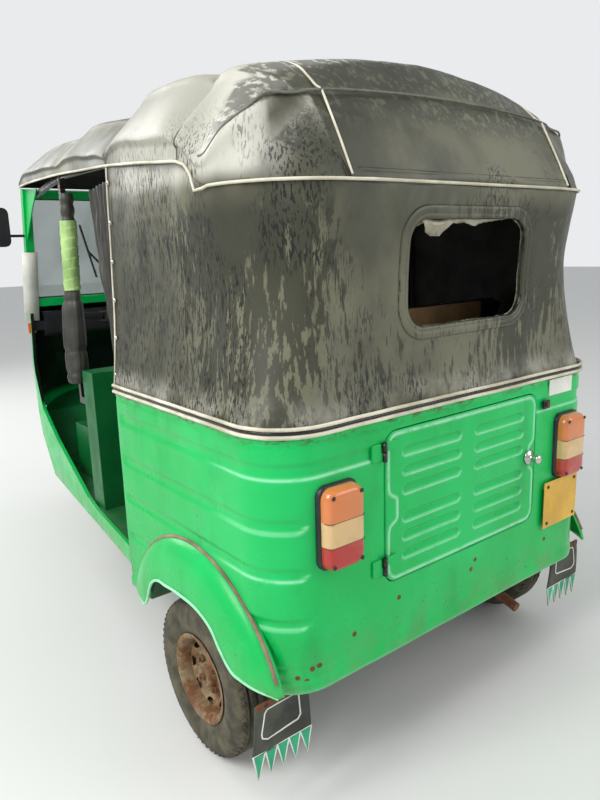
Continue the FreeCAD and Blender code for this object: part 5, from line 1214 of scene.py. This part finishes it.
def wing_points(share):
    """Section of the left wing from the tub to its lip, at a share of the way round."""
    at = LIP[0][0] + (LIP[-1][0] - LIP[0][0]) * share
    angles = [row[0] for row in LIP]
    radius, x = (curved([row[k] for row in LIP], angles, at) for k in (1, 2))
    flare = (x - 0.613) / 0.037
    ends = ((0.600, WING_RADIUS), (0.612 + 0.026 * flare, WING_RADIUS + 0.004 * flare),
            (0.618 + 0.036 * flare, radius + (WING_RADIUS - radius) * 0.50), (x, radius))
    line = []
    for k in range(17):
        t = k / 16
        weights = ((1 - t) ** 3, 3 * t * (1 - t) ** 2, 3 * t * t * (1 - t), t ** 3)
        px, pr = (sum(w * e[n] for w, e in zip(weights, ends)) for n in (0, 1))
        line.append(xyz(px, REAR_AXLE_Y + pr * cos(radians(at)), AXLE_Z + pr * sin(radians(at))))
    return line


def wing_pair():
    """Flared wings with a rolled lip, and the rubber along their joint with the tub."""
    skins, rubbers = [], []
    for side in (1, -1):
        rows = []
        for number in range(WING_STEPS + 1):
            row = [p + xyz(0.0012 * noise.noise(p * 9), 0, 0) for p in wing_points(number / WING_STEPS)]
            rows.append(row if side > 0 else mirrored(row))
        skin = settled(walled(outward(woven("wing", rows, ENAMEL)), 0.003))
        lip = tube("lip", [row[-1] for row in rows], 0.0042, ENAMEL)
        # Painted highlight: the rolled lip is marked pale along its length, the skin not at all.
        rub_and_highlight(skin, lambda p: 0.0)
        rub_and_highlight(lip, lambda p: 0.9)
        skins += [skin, lip]
        joint = [wing_points(k / 60)[0] for k in range(2, 59)]
        joint = [xyz(side * (TUB_HALF + 0.002), p.y, p.z) for p in joint]
        rubbers.append(tube("joint", joint, 0.0046, PERISHED))
    put_on(joined("wing_skins", skins), "root", "body_paint", "wings")
    return put_on(joined("wing_rubbers", rubbers), "root", "flap_rubber")


def mud_flaps():
    """Bare flaps with a painted panel line and green saw teeth edged in white, on rusty bars."""
    inner, outer, top, hem, tip, teeth, thick = 0.503, 0.648, 0.306, 0.182, 0.119, 5, 0.004
    panel = ((0.530, 0.234), (0.538, 0.224), (0.616, 0.216), (0.629, 0.224), (0.631, 0.236), (0.624, 0.284),
             (0.617, 0.291), (0.540, 0.294), (0.531, 0.286))
    pitch = (outer - inner) / teeth
    flaps, bars = [], []

    def on_flap(x, y, z, bend=0.0):
        """Place on a flap, which widens towards its hem and bends."""
        wide = 0.5755 + (x - 0.5755) * (1 + 0.22 * (0.306 - z) / 0.187)
        return xyz(side * wide, y + bend * sin((z - hem) / (top - hem) * 2.4), z)

    def skin(level, k):
        z = hem + (top - hem) * level / 12
        return on_flap(outer + (inner - outer) * k / 12, 1.2180 + 0.0015 * sin(k * 0.5), z, 0.004)

    for side in (1, -1):
        flap = outward(woven("flap", grid(13, 13, skin), FLAP_RUBBER))
        flaps.append(settled(walled(flap, thick, 0.0)))
        for number in range(teeth):
            a, b = outer - number * pitch, outer - (number + 1) * pitch
            face = [on_flap(a, 1.218, hem + 0.002), on_flap((a + b) / 2, 1.2165, tip),
                    on_flap(b, 1.218, hem + 0.002)]
            tooth = walled(piece("tooth", face, [(0, 1, 2)], TEETH_GREEN, smooth=False), thick, 0.0)
            edge = [p + xyz(0, 0.0016, 0) for p in face]
            flaps += [settled(tooth), tube("tooth_edge", edge, 0.0021, PAINT_WHITE, sides=2)]
        line = [on_flap(x, 1.2205, hem) for x in (inner, outer)]
        for p in line:
            p.z = hem + 0.003
        flaps.append(tube("hem_line", line, 0.0012, PAINT_WHITE, sides=2))
        line = [on_flap(x, 1.2212, z, 0.003) for x, z in panel]
        flaps.append(tube("panel_line", line, 0.0021, PAINT_WHITE, closed=True, sides=2))
        ends = sorted((side * 0.496, side * 0.645))
        bars.append(block("flap_bar", (ends[0], 1.2215, 0.296), (ends[1], 1.2275, 0.311), RUST))
    put_on(joined("flap_bars", bars), "root", "rusty_steel")
    return put_on(joined("flaps", flaps), "root", "flap_rubber", "mud_flaps")


def plate_and_label():
    """Blank label near the corner, the door's latch and small rust marks on the tail."""
    label = block("blank_label", (-0.472, TUB_REAR - 0.001, 0.851), (-0.358, TUB_REAR + 0.0022, 0.897),
                  BLANK_LABEL, 0.0006)
    put_on(label, "root", "pale_trim")
    latch = [block("latch", (-0.356, TUB_REAR, 0.818), (-0.328, TUB_REAR + 0.007, 0.842), BLACK_STEEL),
             block("latch_bolt", (-0.348, TUB_REAR + 0.006, 0.824), (-0.336, TUB_REAR + 0.013, 0.836), RUST)]
    put_on(joined("door_latch", latch), "root", "black_steel")
    out = xyz(0, 1, 0)
    marks = [(xyz(x, TUB_REAR + 0.0006, z), out) for x, z in
             ((0.398, 0.408), (-0.026, 0.429), (-0.370, 0.412), (-0.042, 0.452), (0.250, 0.447))]
    for angle, z in ((52, 0.398), (57, 0.352), (66, 0.342), (72, 0.368), (80, 0.372)):
        way = xyz(cos(radians(angle)), sin(radians(angle)), 0)
        turn = xyz(TUB_TURN_X, TUB_TURN_Y, 0)
        marks.append((turn + way * (TUB_CORNER + 0.0006) + xyz(0, 0, z), way))
    mark = form("mark", ((-0.001, 0.0065), (0.0004, 0.0060), (0.0007, 0.0040), (0.0003, 0.0)), 10)
    put_on(repeated("rust_marks", mark, marks, RUST, 1.0, 1.5, 7), "root", "rusty_steel")


def small_boards():
    """Blank white board and reflector on the left front pillar, and the bare board behind the bench."""
    heights = (1.004, 1.100, 1.200, 1.300)
    rows = grid(4, 3, lambda level, k: xyz((0.455, 0.423, 0.391)[k], 0.260 * heights[level] - 1.0572,
                                           heights[level]))
    put_on(walled(outward(woven("pillar_board", rows, BLANK_LABEL)), 0.003), "root", "pale_trim")
    reflector = block("reflector", (0.408, -0.806, 0.948), (0.442, -0.794, 0.996), REFLECTOR, 0.003)
    put_on(reflector, "root", "lamp_plastic")
    shelf = block("seat_board", (-0.400, 0.990, 0.800), (0.300, 0.999, 1.105), PLYWOOD, 0.0015)
    return put_on(shelf, "root", "pale_trim")


def engine_dressing():
    """Fan cover with its vanes, cooling fins and intake hose on the plain engine block."""
    (left, front, _), (_, rear, top) = ENGINE_BOX
    middle = xyz((left + ENGINE_BOX[1][0]) / 2 + 0.05, 0, top - 0.108)
    cover = [(rear + y, radius) for y, radius in (
        (-0.002, 0.098), (0.012, 0.098), (0.018, 0.092), (0.020, 0.080), (0.014, 0.076), (0.006, 0.072),
        (0.006, 0.030), (0.016, 0.026), (0.018, 0.0))]
    parts = [outward(lathe("fan_cover", cover, middle, ALLOY, 64, "Y"))]
    hose = spline([(left + x, rear - y, top + z) for x, y, z in (
        (0.06, 0.03, -0.01), (0.07, 0.03, 0.04), (0.02, 0.06, 0.075), (-0.06, 0.10, 0.07),
        (-0.10, 0.14, 0.02))], 40)

    def ribbed(k, n):
        way = (hose[min(k + 1, 39)] - hose[max(k - 1, 0)]).normalized()
        across = way.cross(xyz(0, 1, 0)).normalized()
        a = 2 * pi * n / 20
        return hose[k] + (across * cos(a) + way.cross(across) * sin(a)) * (0.020 + 0.0022 * (k % 2))

    hose_skin = woven("intake_hose", grid(40, 20, ribbed), BLACK_PLASTIC, round_rows=True)
    put_on(outward(hose_skin), "root", "black_plastic")
    put_on(joined("engine_cover_parts", parts), "root", "engine_alloy")
    fins = [(xyz(left + 0.02 + 0.018 * k, (front + rear) / 2, top), xyz(0, 0, 1)) for k in range(17)]
    reach = (rear - front) / 2 - 0.01
    fin = block("fin", (-0.002, -reach, -0.004), (0.002, reach, 0.020), ALLOY, 0.0008)
    put_on(repeated("engine_fins", fin, fins, ALLOY), "root", "engine_alloy")
    ways = [xyz(cos(2 * pi * k / 18), 0, sin(2 * pi * k / 18)) for k in range(18)]
    vanes = [(middle + way * 0.051 + xyz(0, rear + 0.004, 0), way) for way in ways]
    vane = block("vane", (-0.0015, -0.004, -0.021), (0.0015, 0.006, 0.021), BLACK_STEEL, 0.0005)
    return put_on(repeated("fan_vanes", vane, vanes, BLACK_STEEL), "root", "black_steel")


def front_trim():
    """Rubber round the windscreen and the coil of the front damper."""
    front = xyz(0, -0.0045, -0.0012)
    corners = [xyz(0.394, -0.7923, 1.1023), xyz(0.408, -0.6834, 1.5212)]
    corners += mirrored(reversed(corners))
    line = []
    for a, b in zip(corners, corners[1:] + corners[:1]):
        line += [a.lerp(b, t) + front for t in (0.02, 0.04, 0.3, 0.5, 0.7, 0.96, 0.98)]
    put_on(tube("windscreen_rubber", line, 0.0065, BLACK_PLASTIC, closed=True), "root", "black_plastic")
    foot, head = map(Vector, DAMPER)
    way = (head - foot).normalized()
    across = way.orthogonal().normalized()
    other = way.cross(across)
    low, high = foot + way * 0.042, head - way * 0.036
    coil, turns, steps = [], 8, 18
    for k in range(turns * steps + 1):
        angle = 2 * pi * k / steps
        round_way = across * cos(angle) + other * sin(angle)
        coil.append(low.lerp(high, k / (turns * steps)) + round_way * 0.0215)
    return put_on(tube("front_coil", coil, 0.0032, BLACK_STEEL), "steering", "black_steel")


def front_lamp_rims():
    """Chrome rings round the front lamps."""
    groups = {}
    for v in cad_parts["front_lamp_lenses"].data.vertices:
        groups.setdefault(round(v.co.x / 0.12), []).append(v.co.copy())
    rings = []
    for points in groups.values():
        low, high = (Vector([limit(p[n] for p in points) for n in range(3)]) for limit in (min, max))
        middle, radius = (low + high) / 2, (high.x - low.x) / 2
        profile = ((low.y - 0.001, radius - 0.004), (low.y - 0.004, radius), (low.y - 0.001, radius + 0.004),
                   (high.y, radius + 0.004), (high.y, radius - 0.002))
        centre = xyz(middle.x, 0, middle.z)
        rings.append(outward(lathe("lamp_ring", profile + profile[:1], centre, CHROME, 64, "Y")))
    return put_on(joined("lamp_rings", rings), "root", "chrome_trim")


def small_fixings():
    """Curtain studs and tail screws, set out by Geometry Nodes."""
    studs, screws, back = [], [], xyz(0, 1, 0)
    for p in (skirt_place(0, z) for z in range(952, 1480, 103)):
        studs += [(xyz(side * (p.x + 0.004), p.y + 0.006, p.z), xyz(side, -0.2, 0)) for side in (1, -1)]
    stud = form("stud", ((-0.002, 0.0062), (0.0014, 0.0058), (0.0034, 0.0036), (0.0042, 0.0)), 14)
    put_on(repeated("curtain_studs", stud, studs, CHROME), "root", "chrome_trim")
    for side in (1, -1):
        screws += [(xyz(side * LAMP_X + dx, TUB_REAR + 0.0402, LAMP_Z + dz), back)
                   for dz in (0.078, -0.078) for dx in (-0.040, 0.040)]
        screws += [(xyz(side * x * 0.98, 1.2272, 0.304), back) for x in (0.452, 0.552, 0.635)]
    screws += [(xyz(x, PLATE_BACK, z), back) for z in (0.580, 0.468) for x in (-0.498, -0.360)]
    screw = form("screw", ((0.0, 0.0050), (0.0012, 0.0050), (0.0024, 0.0034), (0.0026, 0.0)), 12)
    put_on(repeated("tail_screws", screw, screws, BLACK_STEEL, 1.0, 3.0, 3), "root", "black_steel")


# Wheels
WHEEL_SLOTS = 8
WHEEL_NUTS = 4
TREAD_LUGS = 60
# Profiles as (distance out from the wheel's middle in mm, radius in m)
RIM_FLANGE = ((38, 0.1040), (42, 0.1075), (44, 0.1120), (45, 0.1165), (46.5, 0.1185), (47.5, 0.1165),
              (47, 0.1120), (45, 0.1070), (41, 0.1025), (36, 0.0990), (28, 0.0965), (20, 0.0945),
              (10, 0.0935))
RIM_DISH = ((10, 0.0945), (13, 0.0925), (15.5, 0.0900), (17, 0.0870), (17.5, 0.0840), (17, 0.0810),
            (15.5, 0.0780), (13.5, 0.0750), (11.5, 0.0720), (9.5, 0.0690), (8, 0.0660), (7.5, 0.0600),
            (8, 0.0560), (10, 0.0525), (11, 0.0500), (11, 0.0400), (11, 0.0335), (14, 0.0318), (27, 0.0300),
            (30, 0.0280), (31, 0.0240), (29, 0.0200), (28, 0.0))
RIM_BACK = ((10, 0.0930), (-36, 0.1015), (-40, 0.1050), (-40, 0.1000), (-38, 0.0970), (-38, 0.0780),
            (-56, 0.0780), (-56, 0.0600), (-60, 0.0180), (-60, 0.0130), (-112, 0.0130), (-112, 0.0))


def wheel_slot(p, x, y):
    """How far inside one of the disc's oval slots a place is."""
    radius, angle = hypot(p.y - y, p.z - AXLE_Z), atan2(p.z - AXLE_Z, p.y - y)
    pitch = 2 * pi / WHEEL_SLOTS
    off = (angle / pitch - round(angle / pitch)) * pitch * 0.081
    return 0.0085 - hypot(max(0.0, abs(off) - 0.0065), radius - 0.081)


def wheel_rim(name, x, y, side, body):
    """Pressed rim: rolled flange, well, dished disc with oval slots, hub with nuts, brake drum and stub."""
    centre, out = xyz(x, y, AXLE_Z), xyz(side, 0, 0)

    def handed(rows):
        return [(side * a / 1000, radius) for a, radius in rows]

    def depth(p):
        return wheel_slot(p, x, y)

    outer = lathe("flange", handed(RIM_FLANGE), centre, RIM_STEEL, 96)
    dish = handed(RIM_DISH)
    fine = spline([(a, r, 0) for a, r in dish[:11]], 24)
    disc = lathe("disc", [(p.x, p.y) for p in fine] + dish[11:], centre, RIM_STEEL, 168)
    walled(trimmed(disc, depth, to_edge(depth)), 0.0025, 0.0)
    drum = lathe("drum", handed(RIM_BACK), centre, RIM_STEEL, 72)
    plate = lathe("plate", handed(((-6, 0.0), (-6, 0.076), (-40, 0.077))), centre, BLACK_STEEL, 48)
    parts = [outward(outer), settled(disc), outward(drum), outward(plate)]
    put_on(joined(name, parts), body, "rusty_rim", name.replace("_wheel", ""))
    places = []
    for angle in (pi / WHEEL_NUTS + 2 * pi * k / WHEEL_NUTS for k in range(WHEEL_NUTS)):
        places.append((centre + xyz(side * 0.011, 0.0425 * cos(angle), 0.0425 * sin(angle)), out))
    places.append((centre + out * 0.029, out))
    nut = form("nut", ((0.0, 0.0105), (0.009, 0.0105), (0.010, 0.0092), (0.010, 0.0056), (0.0165, 0.0054),
                       (0.0175, 0.0046), (0.0175, 0.0)), 6, False)
    return put_on(repeated(name + "_nuts", nut, places, RUSTY_STEEL, 1.0, 0.6, 5), body, "rusty_steel")


def tread_lugs(name, x, y, body):
    """Shoulder lugs, set round the tyre by Geometry Nodes."""
    places = []
    for side in (1, -1):
        for k in range(TREAD_LUGS):
            angle = 2 * pi * (k + 0.25 * (side + 1)) / TREAD_LUGS
            place = xyz(x + side * 0.0385, y + 0.2000 * cos(angle), AXLE_Z + 0.2000 * sin(angle))
            places.append((place, xyz(side * 0.55, cos(angle), sin(angle)).normalized()))
    lug = block("lug", (-0.0075, -0.0045, -0.003), (0.0075, 0.0045, 0.0028), TYRE_RUBBER, 0.0012, 1)
    return put_on(repeated(name, lug, places, TYRE_RUBBER), body, "tyre_rubber")


def wheel_tyre(name, x, y, body):
    """Ribbed road tyre with bulged sidewalls."""
    groove = ((0.006, 0.2065), (0.0035, 0.2055), (0.002, 0.2015))
    left = [(0.033, 0.1035), (0.040, 0.112), (0.0485, 0.130), (0.0535, 0.157), (0.0525, 0.176),
            (0.0475, 0.191), (0.0400, 0.1995), (0.0330, 0.2025), (0.0300, 0.2060)]
    left += [(0.022 + a, r) for a, r in groove] + [(0.022 - a, r) for a, r in reversed(groove)]
    left += groove
    profile = left + [(-a, r) for a, r in reversed(left)]
    made = outward(lathe(name, profile + profile[:1], xyz(x, y, AXLE_Z), TYRE_RUBBER, 120))
    return put_on(made, body, "tyre_rubber", name.replace("_tread", ""))


def dressed(node, material, slot):
    """Keeps a CAD node, with softened edges and a real finish."""
    made = smoothed(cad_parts[node])
    made.data.materials.clear()
    made.data.materials.append(material)
    made.modifiers.new("weld", "WELD").merge_threshold = 0.00005
    flat = made.modifiers.new("flat", "DECIMATE")
    flat.decimate_type, flat.angle_limit = "DISSOLVE", radians(2)
    edge = made.modifiers.new("edge", "BEVEL")
    edge.width, edge.segments = 0.0015, 2
    edge.limit_method, edge.angle_limit, edge.use_clamp_overlap = "ANGLE", radians(33), True
    made.modifiers.new("shading", "WEIGHTED_NORMAL").keep_sharp = False


KEPT = (
    # finish, slot, nodes
    (SHADED_INNER, "inner_paint", "floor_pan front_bulkhead partition driver_seat_base bench_base"),
    (SHADED_INNER, "inner_paint", "engine_cover wheel_houses"),
    (ENAMEL, "body_paint", "sills windscreen_frame front_mudguard"),
    (COWL, "body_paint", "front_cowl"),
    (CHASSIS, "chassis_paint", "chassis_frame"),
    (CHASSIS, "black_steel", "trailing_arms"),
    (BLACK_STEEL, "black_steel", "wiper hood_frame rear_shocks drive_shafts"),
    (BLACK_STEEL, "black_steel", "steering_column handlebar front_fork"),
    (BLACK_PLASTIC, "black_plastic", "dashboard front_lamp_bodies mirrors"),
    (RUSTY_STEEL, "rusty_steel", "silencer"),
    (ALLOY, "engine_alloy", "engine"),
    (GRIP_RUBBER, "grip_rubber", "grips"),
    (PLATE_YELLOW, "yellow_plate", "number_plate"),
    (SCREEN_GLASS, "screen_glass", "windscreen"),
    (HEADLAMP_GLASS, "lamp_glass", "front_lamp_lenses"),
)
for finish, kept_slot, nodes in KEPT:
    for node in nodes.split():
        dressed(node, finish, kept_slot)

hood_top()
hood_back()
hood_piping()
seam_cords()
beading()
window_welt()
window_rags()
rolls = []
for side, side_name in ((1, "left"), (-1, "right")):
    rolls.append(curtain_roll(side, "roll_" + side_name))
    tape_wrap(side, "roll_tape_" + side_name)
    bunched_curtain(side, "bunched_curtain_" + side_name)
put_on(joined("rolled_curtains", rolls), "root", "curtain_vinyl", "curtain_rolls")
tail_tub()
door_skin()
door_knob()
tail_lamps()
wing_pair()
mud_flaps()
plate_and_label()
small_boards()
front_lamp_rims()
front_trim()
engine_dressing()
small_fixings()
UP, FORWARD = (0, 0, 1), (0, -1, 0)
cushion("driver_pad", "driver_seat", UP, (0.25, 0.5, 0.75), 0, 0.012)
cushion("driver_rest", "driver_backrest", FORWARD, (0.25, 0.5, 0.75), 0, 0.010)
cushion("passenger_pad", "passenger_seat", UP, (0.167, 0.333, 0.5, 0.667, 0.833), 0, 0.014)
cushion("passenger_rest", "passenger_backrest", FORWARD, (0.167, 0.333, 0.5, 0.667, 0.833), 0, 0.012)
WHEELS = (
    # body, axle's place, way out, tyre, rim and lugs
    ("front_wheel", 0.0, FRONT_AXLE_Y, 1, "front_tyre_tread", "front_rim_wheel", "tread_lugs_front"),
    ("rear_wheel_left", WHEEL_X, REAR_AXLE_Y, 1, "rear_tyre_left_tread", "rear_rim_left_wheel",
     "tread_lugs_left"),
    ("rear_wheel_right", -WHEEL_X, REAR_AXLE_Y, -1, "rear_tyre_right_tread", "rear_rim_right_wheel",
     "tread_lugs_right"),
)
for body, at_x, at_y, way, tyre, rim, lugs in WHEELS:
    wheel_tyre(tyre, at_x, at_y, body)
for body, at_x, at_y, way, tyre, rim, lugs in WHEELS:
    wheel_rim(rim, at_x, at_y, way, body)
    tread_lugs(lugs, at_x, at_y, body)


# Floor, light and camera
def studio():
    """Plain pale floor that runs out of sight, soft lamps and a pale world."""
    size = 30.0
    corners = [(-size, -size, 0), (size, -size, 0), (size, size, 0), (-size, size, 0)]
    floor = piece("floor", corners, [(0, 1, 2, 3)], None)
    made = Finish("studio_floor", 0.9)
    made.wear("Base Color", made.mix(made.noise(1.5), "dcdcd8", "e2e2de"))
    floor.data.materials[0] = made.material
    world = bpy.context.scene.world = bpy.data.worlds.new("pale_room")
    world.use_nodes = True
    tree = world.node_tree
    soft, plain = tree.nodes["Background"], tree.nodes.new("ShaderNodeBackground")
    soft.inputs["Color"].default_value = (0.93, 0.96, 1.0, 1)
    soft.inputs["Strength"].default_value = 0.62
    plain.inputs["Color"].default_value = (0.82, 0.83, 0.84, 1)
    ray = tree.nodes.new("ShaderNodeLightPath")
    choice = tree.nodes.new("ShaderNodeMixShader")
    tree.links.new(ray.outputs["Is Camera Ray"], choice.inputs[0])
    tree.links.new(soft.outputs[0], choice.inputs[1])
    tree.links.new(plain.outputs[0], choice.inputs[2])
    tree.links.new(choice.outputs[0], tree.nodes["World Output"].inputs["Surface"])
    lamps = (
        # name, place, size, power
        ("key", (4.2, 1.2, 4.4), 2.8, 230),
        ("fill", (-2.4, 4.8, 3.0), 3.4, 80),
        ("front_fill", (1.5, -4.5, 3.4), 3.0, 110),
    )
    for name, place, width, power in lamps:
        light = bpy.data.lights.new(name, "AREA")
        light.size, light.energy = width, power
        lamp = placed(name, light)
        lamp.location, lamp.rotation_mode = place, "QUATERNION"
        lamp.rotation_quaternion = (xyz(0, 0.2, 0.9) - Vector(place)).to_track_quat("-Z", "Y")


def camera():
    """The photograph's viewpoint, fitted to the wheel, lamps and hood lines."""
    yaw, pitch, roll = radians(37.86), radians(12.61), radians(-1.83)
    forward = xyz(-sin(yaw) * cos(pitch), -cos(yaw) * cos(pitch), -sin(pitch))
    right = forward.cross(xyz(0, 0, 1)).normalized()
    up = right.cross(forward)
    right, up = (right * cos(roll) + up * sin(roll), up * cos(roll) - right * sin(roll))
    turn = Matrix((right, up, -forward)).transposed()
    view = bpy.data.cameras.new("photo_view")
    view.lens, view.sensor_width = 30.47, 36
    made = bpy.context.scene.camera = placed("photo_view", view)
    made.matrix_world = Matrix.Translation((1.348, 2.317, 1.281)) @ turn.to_4x4()


studio()
camera()
bpy.context.scene.view_settings.view_transform = "Standard"
